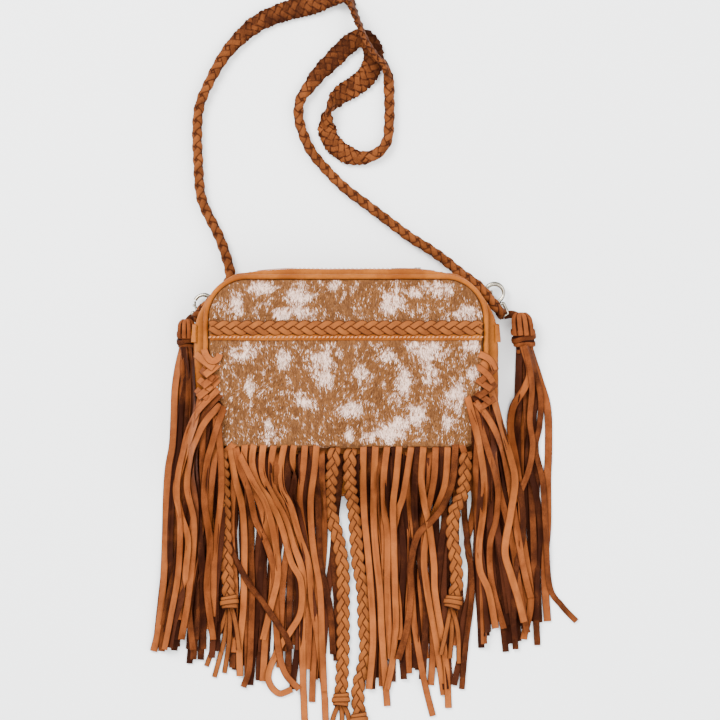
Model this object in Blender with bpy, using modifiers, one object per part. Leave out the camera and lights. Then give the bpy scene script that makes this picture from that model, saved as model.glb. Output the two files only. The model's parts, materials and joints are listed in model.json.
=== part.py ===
"""Fringed crossbody bag lying on its back: hide front, leather gusset, braided strap, clasps, fringe.

Units are metres and +Z is up. The bag lies flat on its back panel at z = 0, with the bag's top
edge towards +Y and its front panel facing +Z. The origin is on the back panel's underside.
"""

import math

import bmesh
import bpy
from mathutils import Vector

COLLECTION_NAME = "fringed_crossbody_bag"

# Body of the bag
FRONT_HALF_WIDTH = 0.1315
FRONT_TOP = 0.0800
FRONT_BOTTOM = -0.0815
FRONT_TOP_RADIUS = 0.037
FRONT_BOTTOM_RADIUS = 0.022
FRONT_UNDERSIDE = 0.0403
HIDE_THICKNESS = 0.0020
DOME_HEIGHT = 0.0040
BODY_HALF_WIDTH = 0.1470
BODY_TOP = 0.0917
BODY_BOTTOM = -0.1290
LEATHER_THICKNESS = 0.0016
BACK_THICKNESS = 0.0020
CONTACT_GAP = 0.0003
SEAM_TURN = 0.0011
SEAM_GAP = 0.0012
LINING_THICKNESS = 0.0008
LINING_CLEARANCE = 0.0014
PIPING_RADIUS = 0.0024
PIPING_END_Y = -0.0116

# Pocket on the front
POCKET_TOP = 0.0400
POCKET_SIDE_MARGIN = 0.0015
POCKET_THICKNESS = 0.0018
POCKET_SLACK = 0.0009
BAND_LOW = 0.0217
BAND_HIGH = 0.0270
BAND_THICKNESS = 0.0012
BRAID_CENTRE_Y = 0.03365
BRAID_WIDTH = 0.0124
BRAID_THICKNESS = 0.0042
BRAID_PITCH = 0.0120

# Zip in the top wall
ZIP_HALF_LENGTH = 0.0850
ZIP_CENTRE_Z = 0.0220
ZIP_MOUTH = 0.0150
ZIP_END_CLEARANCE = 0.0030
ZIP_SINK = 0.0028
ZIP_TAPE_TUCK = 0.0016
ZIP_TAPE_THICKNESS = 0.0008
ZIP_TOOTH_PITCH = 0.0040
ZIP_TOOTH_REACH = 0.0022
SLIDER_LENGTH = 0.0120
SLIDER_WIDTH = 0.0086
SLIDER_PLATE = 0.0013
PULL_LENGTH = 0.0260
PULL_WIDTH = 0.0060
PULL_THICKNESS = 0.0014
PULL_PIN_RADIUS = 0.0008

# Side tabs, rings and clasps
TAB_LOW = 0.0200
TAB_HIGH = 0.0368
TAB_THICKNESS = 0.0016
TAB_SEAT = 0.0014
RING_WIRE_RADIUS = 0.0012
RING_HALF_WIDTH = 0.0045
RING_REACH = 0.0150
HARDWARE_Z = 0.0085
LOOP_WIDTH = 0.0060
LOOP_WALL = 0.0014
HOOK_WIRE_RADIUS = 0.0016
HOOK_RADIUS = 0.0088
HOOK_TIP = math.radians(100)
GATE_FROM = math.radians(164)
GATE_TO = math.radians(108)
EYE_WIRE_RADIUS = 0.0012
EYE_HALF_WIDTH = 0.0042
HOOK_NECK = 0.0004
GATE_SHARE = 0.7

# Strap, knots and tassels
STRAP_RADIUS = 0.0060
STRAP_POINT_SPACING = 0.0150
TASSEL_THICKNESS = 0.0038
FLOOR_CLEARANCE = 0.0004

# Fringe
THONG_WIDTH = 0.0068
THONG_THICKNESS = 0.0018
THONG_FAN = 0.12
FRINGE_HOLE_SHARE = 0.32
SIDE_THONG_STEP = 0.0095
SIDE_THONG_HEIGHT = 0.0068
WALL_CLEARANCE = 0.0016
THONG_SWAY = 0.0030
DROP_WIDTH = 0.0132
DROP_THICKNESS = 0.0056
DROP_PITCH = 0.0125
DROP_KNOT_WIDTH = 0.0176


def clear_scene():
    """Remove every object that the open file holds."""
    for old in list(bpy.data.objects):
        bpy.data.objects.remove(old, do_unlink=True)


def new_collection(name):
    """Return a new collection that is linked to the scene."""
    collection = bpy.data.collections.new(name)
    bpy.context.scene.collection.children.link(collection)
    return collection


def make_material(name, colour, roughness, metallic=0.0):
    """Return a Principled material with one colour."""
    material = bpy.data.materials.new(name)
    material.use_nodes = True
    shader = material.node_tree.nodes["Principled BSDF"]
    shader.inputs["Base Color"].default_value = (*colour, 1.0)
    shader.inputs["Roughness"].default_value = roughness
    shader.inputs["Metallic"].default_value = metallic
    material.diffuse_color = (*colour, 1.0)
    return material


HIDE = (0.40, 0.26, 0.17)
CARAMEL = (0.52, 0.20, 0.07)
SUEDE = (0.36, 0.13, 0.06)
DARK_SUEDE = (0.20, 0.07, 0.04)
CLOTH = (0.22, 0.15, 0.11)
NICKEL = (0.72, 0.70, 0.66)

clear_scene()
BAG = new_collection(COLLECTION_NAME)


def add_object(name, data, colour, roughness=0.6, metallic=0.0):
    """Link an object with its own material into the bag's collection."""
    made = bpy.data.objects.new(name, data)
    BAG.objects.link(made)
    data.materials.append(make_material(name + "_finish", colour, roughness, metallic))
    return made


def mesh_object(name, points, faces, colour, roughness=0.6, metallic=0.0):
    """Make a mesh object from computed points, with its faces turned outwards."""
    mesh = bpy.data.meshes.new(name)
    mesh.from_pydata([tuple(p) for p in points], [], faces)
    work = bmesh.new()
    work.from_mesh(mesh)
    bmesh.ops.recalc_face_normals(work, faces=work.faces)
    work.to_mesh(mesh)
    work.free()
    mesh.shade_smooth()
    mesh.set_sharp_from_angle(angle=math.radians(35))
    return add_object(name, mesh, colour, roughness, metallic)


def loft(name, sections, colour, roughness=0.6, metallic=0.0):
    """Skin a closed body through rings of equal point count and cap both ends."""
    count = len(sections[0])
    points = [p for ring in sections for p in ring]
    faces = []
    for row in range(len(sections) - 1):
        for col in range(count):
            nxt = (col + 1) % count
            low, high = row * count, (row + 1) * count
            faces.append((low + col, low + nxt, high + nxt, high + col))
    faces.append(tuple(range(count)))
    faces.append(tuple((len(sections) - 1) * count + col for col in reversed(range(count))))
    return mesh_object(name, points, faces, colour, roughness, metallic)


def sheet(name, rows, thickness, colour, roughness=0.6, up=(0, 0, 1), extra_faces=()):
    """Make an open grid sheet and thicken it away from its outer side with Solidify."""
    cols = len(rows[0])
    points = [p for row in rows for p in row]
    faces = []
    for r in range(len(rows) - 1):
        for c in range(cols - 1):
            a = r * cols + c
            faces.append((a, a + 1, a + cols + 1, a + cols))
    made = mesh_object(name, points, list(faces) + list(extra_faces), colour, roughness)
    mesh = made.data
    total = sum((p.normal * p.area for p in mesh.polygons), Vector())
    if total.dot(Vector(up)) < 0.0:
        mesh.flip_normals()
    solid = made.modifiers.new("thickness", "SOLIDIFY")
    solid.thickness = thickness
    solid.offset = -1.0
    solid.use_even_offset = True
    return made


def wire(name, points, radius, colour, cyclic=False, sides=2, roughness=0.3, metallic=1.0):
    """Make a round wire, tube or cord as a poly spline with a bevel and filled caps."""
    curve = bpy.data.curves.new(name, "CURVE")
    curve.dimensions = "3D"
    curve.bevel_depth = radius
    curve.bevel_resolution = sides
    curve.use_fill_caps = True
    spline = curve.splines.new("POLY")
    spline.points.add(len(points) - 1)
    for slot, point in zip(spline.points, points):
        slot.co = (*point, 1.0)
    spline.use_cyclic_u = cyclic
    return add_object(name, curve, colour, roughness, metallic)


def plate(name, outline, holes, thickness, colour, roughness=0.6, metallic=0.0):
    """Make a flat plate from a 2D outline with holes, in its own XY plane."""
    curve = bpy.data.curves.new(name, "CURVE")
    curve.dimensions = "2D"
    curve.fill_mode = "BOTH"
    curve.extrude = thickness / 2
    for ring in [outline] + list(holes):
        spline = curve.splines.new("POLY")
        spline.points.add(len(ring) - 1)
        for slot, point in zip(spline.points, ring):
            slot.co = (point[0], point[1], 0.0, 1.0)
        spline.use_cyclic_u = True
    return add_object(name, curve, colour, roughness, metallic)


def smooth_route(route, spacing):
    """Read evenly spaced points from a Catmull-Rom curve through the route's points."""
    knots = [Vector(p) for p in route]
    knots = [knots[0] * 2 - knots[1]] + knots + [knots[-1] * 2 - knots[-2]]
    dense = []
    for i in range(1, len(knots) - 2):
        a, b, c, d = knots[i - 1], knots[i], knots[i + 1], knots[i + 2]
        for step in range(16):
            t = step / 16
            dense.append(0.5 * (2 * b + (c - a) * t + (2 * a - 5 * b + 4 * c - d) * t * t
                                + (3 * b - a - 3 * c + d) * t ** 3))
    dense.append(knots[-2])
    lengths = [0.0]
    for p, q in zip(dense, dense[1:]):
        lengths.append(lengths[-1] + (q - p).length)
    count = max(2, round(lengths[-1] / spacing))
    points, at = [], 0
    for i in range(count + 1):
        want = lengths[-1] * i / count
        while at < len(dense) - 2 and lengths[at + 1] < want:
            at += 1
        span = max(lengths[at + 1] - lengths[at], 1e-9)
        points.append(dense[at].lerp(dense[at + 1], (want - lengths[at]) / span))
    return points


# The bag's wall, as five level outlines from the front edge to the back edge

class Level:
    """One outline of the bag: half width, top, bottom, corner radii and how far corners draw in."""

    def __init__(self, z, half, top, bottom, corner_x, corner_y, low_corner, draw):
        self.z = z
        self.half = half
        self.top = top
        self.bottom = bottom
        self.corner_x = corner_x
        self.corner_y = corner_y
        self.low_corner = low_corner
        self.draw = draw

    def inset(self, amount):
        """Return this outline drawn in by one distance all round."""
        return Level(self.z, self.half - amount, self.top - amount, self.bottom + amount,
                     self.corner_x - amount, self.corner_y - amount, self.low_corner - amount, self.draw)

    def blend(self, other, share):
        """Return the outline that lies between this one and another."""
        mine = (self.z, self.half, self.top, self.bottom, self.corner_x, self.corner_y,
                self.low_corner, self.draw)
        its = (other.z, other.half, other.top, other.bottom, other.corner_x, other.corner_y,
               other.low_corner, other.draw)
        return Level(*[m + (o - m) * share for m, o in zip(mine, its)])

    def half_ring(self):
        """Return the right half of the outline, from the top middle to the bottom middle."""
        points = []
        straight = self.half - self.corner_x
        for i in range(TOP_STEPS):
            points.append((straight * i / TOP_STEPS, self.top))
        centre_y = self.top - self.corner_y
        for i in range(CORNER_STEPS):
            angle = math.pi / 2 * (1 - i / CORNER_STEPS)
            pull = 1 - self.draw * math.sin(2 * angle) ** 2
            points.append((straight + self.corner_x * pull * math.cos(angle),
                           centre_y + self.corner_y * pull * math.sin(angle)))
        low_y = self.bottom + self.low_corner
        for i in range(SIDE_STEPS):
            points.append((self.half, centre_y + (low_y - centre_y) * i / SIDE_STEPS))
        low_x = self.half - self.low_corner
        for i in range(LOW_STEPS):
            angle = math.pi / 2 * i / LOW_STEPS
            points.append((low_x + self.low_corner * math.cos(angle),
                           low_y - self.low_corner * math.sin(angle)))
        for i in range(BOTTOM_STEPS + 1):
            points.append((low_x * (1 - i / BOTTOM_STEPS), self.bottom))
        return [(x, y, self.z) for x, y in points]

    def half_width_at(self, y):
        """Return the outline's half width at a height, with its round corners."""
        if y > self.top - self.corner_y:
            rise = min(1.0, (y - self.top + self.corner_y) / self.corner_y)
            return self.half - self.corner_x + self.corner_x * math.sqrt(1 - rise * rise)
        if y < self.bottom + self.low_corner:
            drop = min(1.0, (self.bottom + self.low_corner - y) / self.low_corner)
            return self.half - self.low_corner + self.low_corner * math.sqrt(1 - drop * drop)
        return self.half


TOP_STEPS = 5
CORNER_STEPS = 10
SIDE_STEPS = 5
LOW_STEPS = 5
BOTTOM_STEPS = 4

EDGE = Level(FRONT_UNDERSIDE - CONTACT_GAP, FRONT_HALF_WIDTH - 0.0003, FRONT_TOP - 0.0003,
             FRONT_BOTTOM + 0.0003, FRONT_TOP_RADIUS, FRONT_TOP_RADIUS, FRONT_BOTTOM_RADIUS, 0.0)
SHOULDER = Level(0.0345, BODY_HALF_WIDTH - 0.0020, BODY_TOP - 0.0012, -0.0965, 0.045, 0.060, 0.030, 0.06)
MIDDLE = Level(0.0220, BODY_HALF_WIDTH, BODY_TOP, -0.1120, 0.062, 0.078, 0.034, 0.19)
LOWER = Level(0.0105, BODY_HALF_WIDTH - 0.0030, BODY_TOP - 0.0022, -0.1230, 0.060, 0.084, 0.036, 0.25)
HEEL = Level(BACK_THICKNESS + CONTACT_GAP + SEAM_TURN, BODY_HALF_WIDTH - 0.0100, BODY_TOP - 0.0087, BODY_BOTTOM,
             0.053, 0.084, 0.036, 0.26)
WALL = [EDGE, SHOULDER, MIDDLE, LOWER, HEEL]


def level_at(z):
    """Return the wall's outline at one height."""
    for upper, lower in zip(WALL, WALL[1:]):
        if z >= lower.z:
            return upper.blend(lower, (upper.z - z) / (upper.z - lower.z))
    return WALL[-1]


def dome(x, y):
    """Return how far the padded front stands above its edge."""
    across = max(0.0, 1 - (x / FRONT_HALF_WIDTH) ** 2)
    along = max(0.0, 1 - (y / FRONT_TOP) ** 2)
    return DOME_HEIGHT * math.sqrt(across * along)


def ring_slice(heights, first, last):
    """Return rows of wall points on the right half, between two places along the outline."""
    return [level_at(z).half_ring()[first:last] for z in heights]


RING_COUNT = TOP_STEPS + CORNER_STEPS + SIDE_STEPS + LOW_STEPS + BOTTOM_STEPS + 1


def add_mirror(made):
    """Complete a half that is open at the X = 0 plane."""
    mirror = made.modifiers.new("both_sides", "MIRROR")
    mirror.use_axis = (True, False, False)
    mirror.use_clip = True
    mirror.merge_threshold = 0.0001
    made.modifiers.move(len(made.modifiers) - 1, 0)


# Body pieces

def panel_rows(level, low, high, count, columns, lift):
    """Return rows of points on the domed front, between two heights."""
    rows = []
    for r in range(count + 1):
        share = 0.5 - 0.5 * math.cos(math.pi * r / count)
        y = low + (high - low) * share
        half = level.half_width_at(y)
        row = []
        for c in range(columns + 1):
            x = half * (2 * c / columns - 1)
            row.append((x, y, lift + dome(x, y)))
        rows.append(row)
    return rows


def build_body():
    """Build the back, gusset, front, pocket and lining."""
    outline = HEEL.half_ring()
    ring = [(x, y) for x, y, z in outline] + [(-x, y) for x, y, z in reversed(outline[1:-1])]
    back = plate("back_panel", ring, [], BACK_THICKNESS, CARAMEL)
    back.location.z = BACK_THICKNESS / 2

    front_level = Level(0, FRONT_HALF_WIDTH, FRONT_TOP, FRONT_BOTTOM, FRONT_TOP_RADIUS,
                        FRONT_TOP_RADIUS, FRONT_BOTTOM_RADIUS, 0)
    rows = panel_rows(front_level, FRONT_BOTTOM, FRONT_TOP, 14, 14, FRONT_UNDERSIDE + HIDE_THICKNESS)
    sheet("front_panel", rows, HIDE_THICKNESS, HIDE, 0.8)
    pocket_level = front_level.inset(POCKET_SIDE_MARGIN)
    pocket_base = FRONT_UNDERSIDE + HIDE_THICKNESS + POCKET_SLACK
    rows = panel_rows(pocket_level, pocket_level.bottom, POCKET_TOP, 10, 14,
                      pocket_base + POCKET_THICKNESS)
    sheet("pocket_panel", rows, POCKET_THICKNESS, HIDE, 0.8)
    trim_base = pocket_base + POCKET_THICKNESS + POCKET_SLACK
    rows = panel_rows(pocket_level, BAND_LOW, BAND_HIGH, 2, 16, trim_base + BAND_THICKNESS)
    sheet("pocket_band", rows, BAND_THICKNESS, CARAMEL)
    steps = round(2 * pocket_level.half / (BRAID_PITCH / 2))
    sections = []
    for i in range(steps + 1):
        x = pocket_level.half * (2 * i / steps - 1)
        swell = 1.0 if i % 2 else 0.80
        centre_z = trim_base + BRAID_THICKNESS / 2 + dome(x, BRAID_CENTRE_Y)
        sections.append(flat_section((x, BRAID_CENTRE_Y, centre_z), (0, 1, 0),
                                     BRAID_WIDTH * swell, BRAID_THICKNESS))
    loft("pocket_braid", sections, CARAMEL)

    zip_end = first_ring_index(ZIP_HALF_LENGTH)
    heights = [EDGE.z, 0.0376, SHOULDER.z, 0.0285, MIDDLE.z, 0.0165, LOWER.z, 0.0060, HEEL.z]
    gusset = sheet("gusset", ring_slice(heights, zip_end, RING_COUNT), LEATHER_THICKNESS, CARAMEL,
                   up=(1, -0.4, 0))
    add_mirror(gusset)
    mouth = ZIP_MOUTH / 2
    for name, high, low in (("zip_panel_front", EDGE.z, ZIP_CENTRE_Z + mouth),
                            ("zip_panel_back", ZIP_CENTRE_Z - mouth, HEEL.z)):
        heights = [high + (low - high) * i / 3 for i in range(4)]
        panel = sheet(name, trimmed_slice(heights, zip_end), LEATHER_THICKNESS, CARAMEL, up=(0, 1, 0))
        add_mirror(panel)


def flat_section(centre, across, width, thickness, normal=(0, 0, 1), sides=8):
    """Return one rounded ring that is wide along one direction and thin along another."""
    side = Vector(across).normalized()
    up = Vector(normal)
    middle = Vector(centre)
    ring = []
    for i in range(sides):
        angle = 2 * math.pi * (i + 0.5) / sides
        ring.append(middle + side * (width / 2 * math.cos(angle) / math.cos(math.pi / sides))
                    + up * (thickness / 2 * math.sin(angle) / math.cos(math.pi / sides)))
    return ring


def first_ring_index(x):
    """Return the outline point nearest to the end of the zip on the top wall."""
    ring = MIDDLE.half_ring()
    return min(range(TOP_STEPS + CORNER_STEPS), key=lambda i: abs(ring[i][0] - x))


def trimmed_slice(heights, end):
    """Return the top wall's rows, with a small gap before the gusset's own end."""
    rows = []
    for row in ring_slice(heights, 0, end + 1):
        last, before = Vector(row[-1]), Vector(row[-2])
        row[-1] = tuple(last + (before - last).normalized() * SEAM_GAP)
        rows.append(row)
    return rows


def build_lining():
    """Build the cloth lining as a pouch inside the wall, open along the zip."""
    clear = LEATHER_THICKNESS + LINING_CLEARANCE
    zip_end = first_ring_index(ZIP_HALF_LENGTH)
    roof, floor = EDGE.z - 0.0048, HEEL.z + 0.0018
    outlines = [(EDGE.inset(clear / 2), roof), (SHOULDER.inset(clear * 2.5), roof - 0.0037),
                (MIDDLE.inset(clear * 2), MIDDLE.z), (LOWER.inset(clear * 2), LOWER.z),
                (HEEL.inset(clear * 3), floor)]
    rows = []
    for share in (0.35, 0.7):
        rows.append([(x * share, y * share, roof) for x, y, z in outlines[0][0].half_ring()])
    for level, height in outlines:
        rows.append([(x, y, height) for x, y, z in level.half_ring()])
    for share in (0.7, 0.35):
        rows.append([(x * share, y * share, floor) for x, y, z in outlines[-1][0].half_ring()])
    cols = len(rows[0])
    points = [p for row in rows for p in row]
    faces = []
    for r in range(len(rows) - 1):
        for c in range(cols - 1):
            if r in (3, 4) and c < zip_end:
                continue
            a = r * cols + c
            faces.append((a, a + 1, a + cols + 1, a + cols))
    for first in (0, (len(rows) - 1) * cols):
        faces.append(tuple(first + c for c in range(cols)))
    made = mesh_object("lining", points, faces, CLOTH, 0.9)
    solid = made.modifiers.new("thickness", "SOLIDIFY")
    solid.thickness = LINING_THICKNESS
    solid.offset = -1.0
    add_mirror(made)


def build_piping():
    """Build the piping round the front's top and sides."""
    reach = PIPING_RADIUS + CONTACT_GAP
    level = Level(FRONT_UNDERSIDE + 0.0022, FRONT_HALF_WIDTH + reach, FRONT_TOP + reach,
                  FRONT_BOTTOM - reach, FRONT_TOP_RADIUS + reach, FRONT_TOP_RADIUS + reach,
                  FRONT_BOTTOM_RADIUS + reach, 0.0)
    half = [p for p in level.half_ring() if p[1] > PIPING_END_Y]
    half.append((level.half, PIPING_END_Y, level.z))
    route = [(-x, y, z) for x, y, z in reversed(half[1:])] + half
    wire("piping", route, PIPING_RADIUS, CARAMEL, roughness=0.5, metallic=0.0)


# Zip

def rack_outline(length, depth, spine, phase):
    """Return the outline of a toothed zip edge: a spine along X with teeth towards +Y."""
    count = int(length / ZIP_TOOTH_PITCH)
    points = [(length / 2, -spine), (length / 2, 0.0)]
    tooth = ZIP_TOOTH_PITCH * 0.40
    for i in reversed(range(count)):
        middle = (i + 0.25 + 0.5 * phase - count / 2) * ZIP_TOOTH_PITCH
        points += [(middle + tooth / 2, 0.0), (middle + tooth / 2 * 0.8, depth),
                   (middle - tooth / 2 * 0.8, depth), (middle - tooth / 2, 0.0)]
    points += [(-length / 2, 0.0), (-length / 2, -spine)]
    return points


def build_zip():
    """Build both toothed tapes, the slider and its pull in the top wall."""
    straight = min(level.half - level.corner_x for level in WALL[1:])
    length = 2 * (straight - ZIP_END_CLEARANCE)
    seat_y = BODY_TOP - LEATHER_THICKNESS - ZIP_SINK
    spine = ZIP_MOUTH / 2 - ZIP_TOOTH_REACH / 2 + ZIP_TAPE_TUCK
    for name, turn, phase in (("zip_tape_front", -1, 0), ("zip_tape_back", 1, 1)):
        tape = plate(name, rack_outline(length, ZIP_TOOTH_REACH, spine, phase), [],
                     ZIP_TAPE_THICKNESS, DARK_SUEDE, 0.8)
        tape.rotation_euler = (turn * math.pi / 2, 0, 0)
        tape.location = (0, seat_y, ZIP_CENTRE_Z - turn * (ZIP_TOOTH_REACH / 2 + 0.0002))
    slider_x = straight - ZIP_END_CLEARANCE - SLIDER_LENGTH
    slider_y = seat_y + ZIP_TAPE_THICKNESS / 2 + CONTACT_GAP + SLIDER_PLATE / 2
    body = box_mesh("slider_plate", (SLIDER_LENGTH, SLIDER_PLATE, SLIDER_WIDTH))
    bridge = box_mesh("slider_bridge", (SLIDER_LENGTH * 0.5, 0.0030, 0.0022), (0, 0.0019, 0))
    pin_hole = rod_mesh("slider_hole", PULL_PIN_RADIUS + CONTACT_GAP, 0.004, (0, 0, 1), (0, 0.0020, 0))
    slider = joined("zip_slider", body, [bridge], [pin_hole], NICKEL, 0.3, 1.0)
    slider.location = (slider_x, slider_y, ZIP_CENTRE_Z)
    hinge_y = slider_y + 0.0020
    stem = box_mesh("pull_stem", (PULL_LENGTH, PULL_THICKNESS, PULL_WIDTH),
                    (-PULL_LENGTH / 2 + 0.0010, 0, 0))
    window = box_mesh("pull_window", (0.0110, 0.0060, 0.0034), (-0.0010, 0, 0))
    pin = rod_mesh("pull_pin", PULL_PIN_RADIUS, 0.0044, (0, 0, 1), (0, 0, 0))
    pull = joined("zip_pull", stem, [], [window], NICKEL, 0.3, 1.0, late=[pin])
    pull.location = (slider_x, hinge_y, ZIP_CENTRE_Z)


def box_mesh(name, size, centre=(0, 0, 0)):
    """Return a loose box object of one size about a centre."""
    bpy.ops.mesh.primitive_cube_add(size=1)
    made = bpy.context.object
    made.name = name
    for vertex in made.data.vertices:
        vertex.co = Vector(centre) + Vector([c * s for c, s in zip(vertex.co, size)])
    return made


def rod_mesh(name, radius, length, axis, centre, sides=12):
    """Return a loose round rod object along an axis."""
    bpy.ops.mesh.primitive_cylinder_add(vertices=sides, radius=radius, depth=length)
    made = bpy.context.object
    made.name = name
    turn = Vector(axis).to_track_quat("Z", "Y")
    for vertex in made.data.vertices:
        vertex.co = Vector(centre) + turn @ vertex.co
    return made


def joined(name, base, unions, cuts, colour, roughness, metallic, late=()):
    """Join and cut loose solids with exact booleans and return the finished object."""
    depsgraph_steps = [("UNION", u) for u in unions] + [("DIFFERENCE", c) for c in cuts]
    depsgraph_steps += [("UNION", u) for u in late]
    for kind, tool in depsgraph_steps:
        step = base.modifiers.new(kind.lower(), "BOOLEAN")
        step.operation = kind
        step.object = tool
        step.solver = "EXACT"
    bpy.context.view_layer.update()
    evaluated = base.evaluated_get(bpy.context.evaluated_depsgraph_get())
    mesh = bpy.data.meshes.new_from_object(evaluated)
    for tool in [base] + list(unions) + list(cuts) + list(late):
        bpy.data.objects.remove(tool, do_unlink=True)
    mesh.materials.clear()
    return add_object(name, mesh, colour, roughness, metallic)


# Side tabs, rings and clasps

def beside(side, past, y):
    """Return a place at one distance past the side of the bag."""
    return side * (BODY_HALF_WIDTH + past), y


RING_BAR = {-1: beside(-1, -0.0118, 0.0425), 1: beside(1, -0.0075, 0.0545)}
RING_LEAN = {-1: math.radians(6), 1: math.radians(-4)}
HOOK_CENTRE = {-1: beside(-1, -0.0094, 0.0570), 1: beside(1, -0.0036, 0.0676)}
EYE_CENTRE = {-1: beside(-1, -0.0012, 0.0449), 1: beside(1, 0.0056, 0.0459)}
SIDE_NAME = {-1: "left", 1: "right"}


def place_flat(made, centre, angle, z):
    """Lay an object flat at a place, turned about the vertical."""
    made.location = (centre[0], centre[1], z)
    made.rotation_euler = (0, 0, angle)


def build_tab(side):
    """Build the stitched tab that crosses the side wall, and the loop that holds the ring."""
    name = SIDE_NAME[side]
    rows = []
    heights = [0.0352, SHOULDER.z - 0.0012, 0.0280, MIDDLE.z, 0.0160, LOWER.z, 0.0060]
    for z in heights:
        row = []
        for i in range(7):
            y = TAB_LOW + (TAB_HIGH - TAB_LOW) * i / 6
            row.append(wall_point(side, y, z, TAB_SEAT + TAB_THICKNESS))
        rows.append(row)
    sheet("side_tab_" + name, rows, TAB_THICKNESS, CARAMEL, up=(side, 0, 0))
    bar = Vector(RING_BAR[side])
    hold = RING_WIRE_RADIUS + CONTACT_GAP
    outer = hold + LOOP_WALL
    seat_level = level_at(HARDWARE_Z + LOOP_WIDTH / 2).inset(-(CONTACT_GAP + 0.0004))
    foot_y = TAB_HIGH + 2 * LOOP_WALL
    foot = Vector((side * (drawn_half_width(seat_level, foot_y) + LOOP_WALL), foot_y))
    along = (bar - foot).normalized()
    across = Vector((-along.y, along.x))
    outline = [foot - across * LOOP_WALL, foot + across * LOOP_WALL]
    start = math.atan2(along.y, along.x)
    for i in range(13):
        angle = start + math.radians(130) - math.radians(260) * i / 12
        outline.append(bar + Vector((math.cos(angle), math.sin(angle))) * outer)
    hole = [bar + Vector((math.cos(a), math.sin(a))) * hold
            for a in [2 * math.pi * i / 12 for i in range(12)]]
    loop = plate("ring_loop_" + name, outline, [hole], LOOP_WIDTH, CARAMEL)
    loop.location.z = HARDWARE_Z


def drawn_half_width(level, y):
    """Return the half width of an outline at a height, with its drawn-in upper corners."""
    ring = level.half_ring()
    best = level.half
    for a, b in zip(ring, ring[1:]):
        if (a[1] - y) * (b[1] - y) <= 0 and a[1] != b[1]:
            best = a[0] + (b[0] - a[0]) * (y - a[1]) / (b[1] - a[1])
            break
    return best


def wall_point(side, y, z, offset):
    """Return a point at one distance outside the side wall."""
    step = 0.0008

    def on_wall(at_y, at_z):
        return Vector((drawn_half_width(level_at(at_z), at_y), at_y, at_z))

    along = on_wall(y + step, z) - on_wall(y - step, z)
    up = on_wall(y, z + step) - on_wall(y, z - step)
    point = on_wall(y, z) + along.cross(up).normalized() * offset
    return (side * point.x, point.y, point.z)


def build_ring(side):
    """Build the D-shaped ring that stands in its loop, with its origin on the bar."""
    points = [(0, 0, -RING_HALF_WIDTH)]
    straight = RING_REACH - RING_HALF_WIDTH
    for i in range(9):
        angle = -math.pi / 2 + math.pi * i / 8
        points.append((0, straight + RING_HALF_WIDTH * math.cos(angle), RING_HALF_WIDTH * math.sin(angle)))
    points.append((0, 0, RING_HALF_WIDTH))
    ring = wire("d_ring_" + SIDE_NAME[side], points, RING_WIRE_RADIUS, NICKEL, cyclic=True)
    place_flat(ring, RING_BAR[side], RING_LEAN[side], HARDWARE_Z)


def build_clasp(side):
    """Build one swivel clasp: hook, sprung gate and the eye for the strap."""
    name = SIDE_NAME[side]
    centre, eye_at = Vector(HOOK_CENTRE[side]), Vector(EYE_CENTRE[side])
    reach = (centre - eye_at).length
    axis = (centre - eye_at).normalized()
    angle = math.atan2(axis.y, axis.x)
    neck = HOOK_RADIUS + HOOK_WIRE_RADIUS
    # In the clasp's own frame +X runs from the eye to the hook, and the hook's centre is the origin.
    points = [(-(neck + HOOK_NECK), 0, 0)]
    for i in range(15):
        turn = -math.pi + (math.pi + HOOK_TIP) * i / 14
        points.append((HOOK_RADIUS * math.cos(turn), HOOK_RADIUS * math.sin(turn), 0))
    hook = wire("clasp_hook_" + name, points, HOOK_WIRE_RADIUS, NICKEL)
    gate_start = HOOK_RADIUS * math.cos(GATE_FROM), HOOK_RADIUS * math.sin(GATE_FROM)
    gate_end = HOOK_RADIUS * math.cos(GATE_TO), HOOK_RADIUS * math.sin(GATE_TO)
    gate_points = [(0, 0, 0), (gate_end[0] - gate_start[0], gate_end[1] - gate_start[1], 0)]
    gate = wire("clasp_gate_" + name, gate_points, HOOK_WIRE_RADIUS * GATE_SHARE, NICKEL)
    place_flat(hook, centre, angle, HARDWARE_Z)
    start = centre + Vector((gate_start[0] * math.cos(angle) - gate_start[1] * math.sin(angle),
                             gate_start[0] * math.sin(angle) + gate_start[1] * math.cos(angle)))
    place_flat(gate, start, angle, HARDWARE_Z)
    near = -(neck + HOOK_NECK + CONTACT_GAP)
    far = -reach
    half = EYE_HALF_WIDTH
    frame = [(near - EYE_WIRE_RADIUS, -half, 0), (near - EYE_WIRE_RADIUS, half, 0), (far, half, 0),
             (far, -half, 0)]
    eye = wire("clasp_eye_" + name, frame, EYE_WIRE_RADIUS, NICKEL, cyclic=True)
    place_flat(eye, centre, angle, HARDWARE_Z)


# Strap, knots, tassels and fringe

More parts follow.
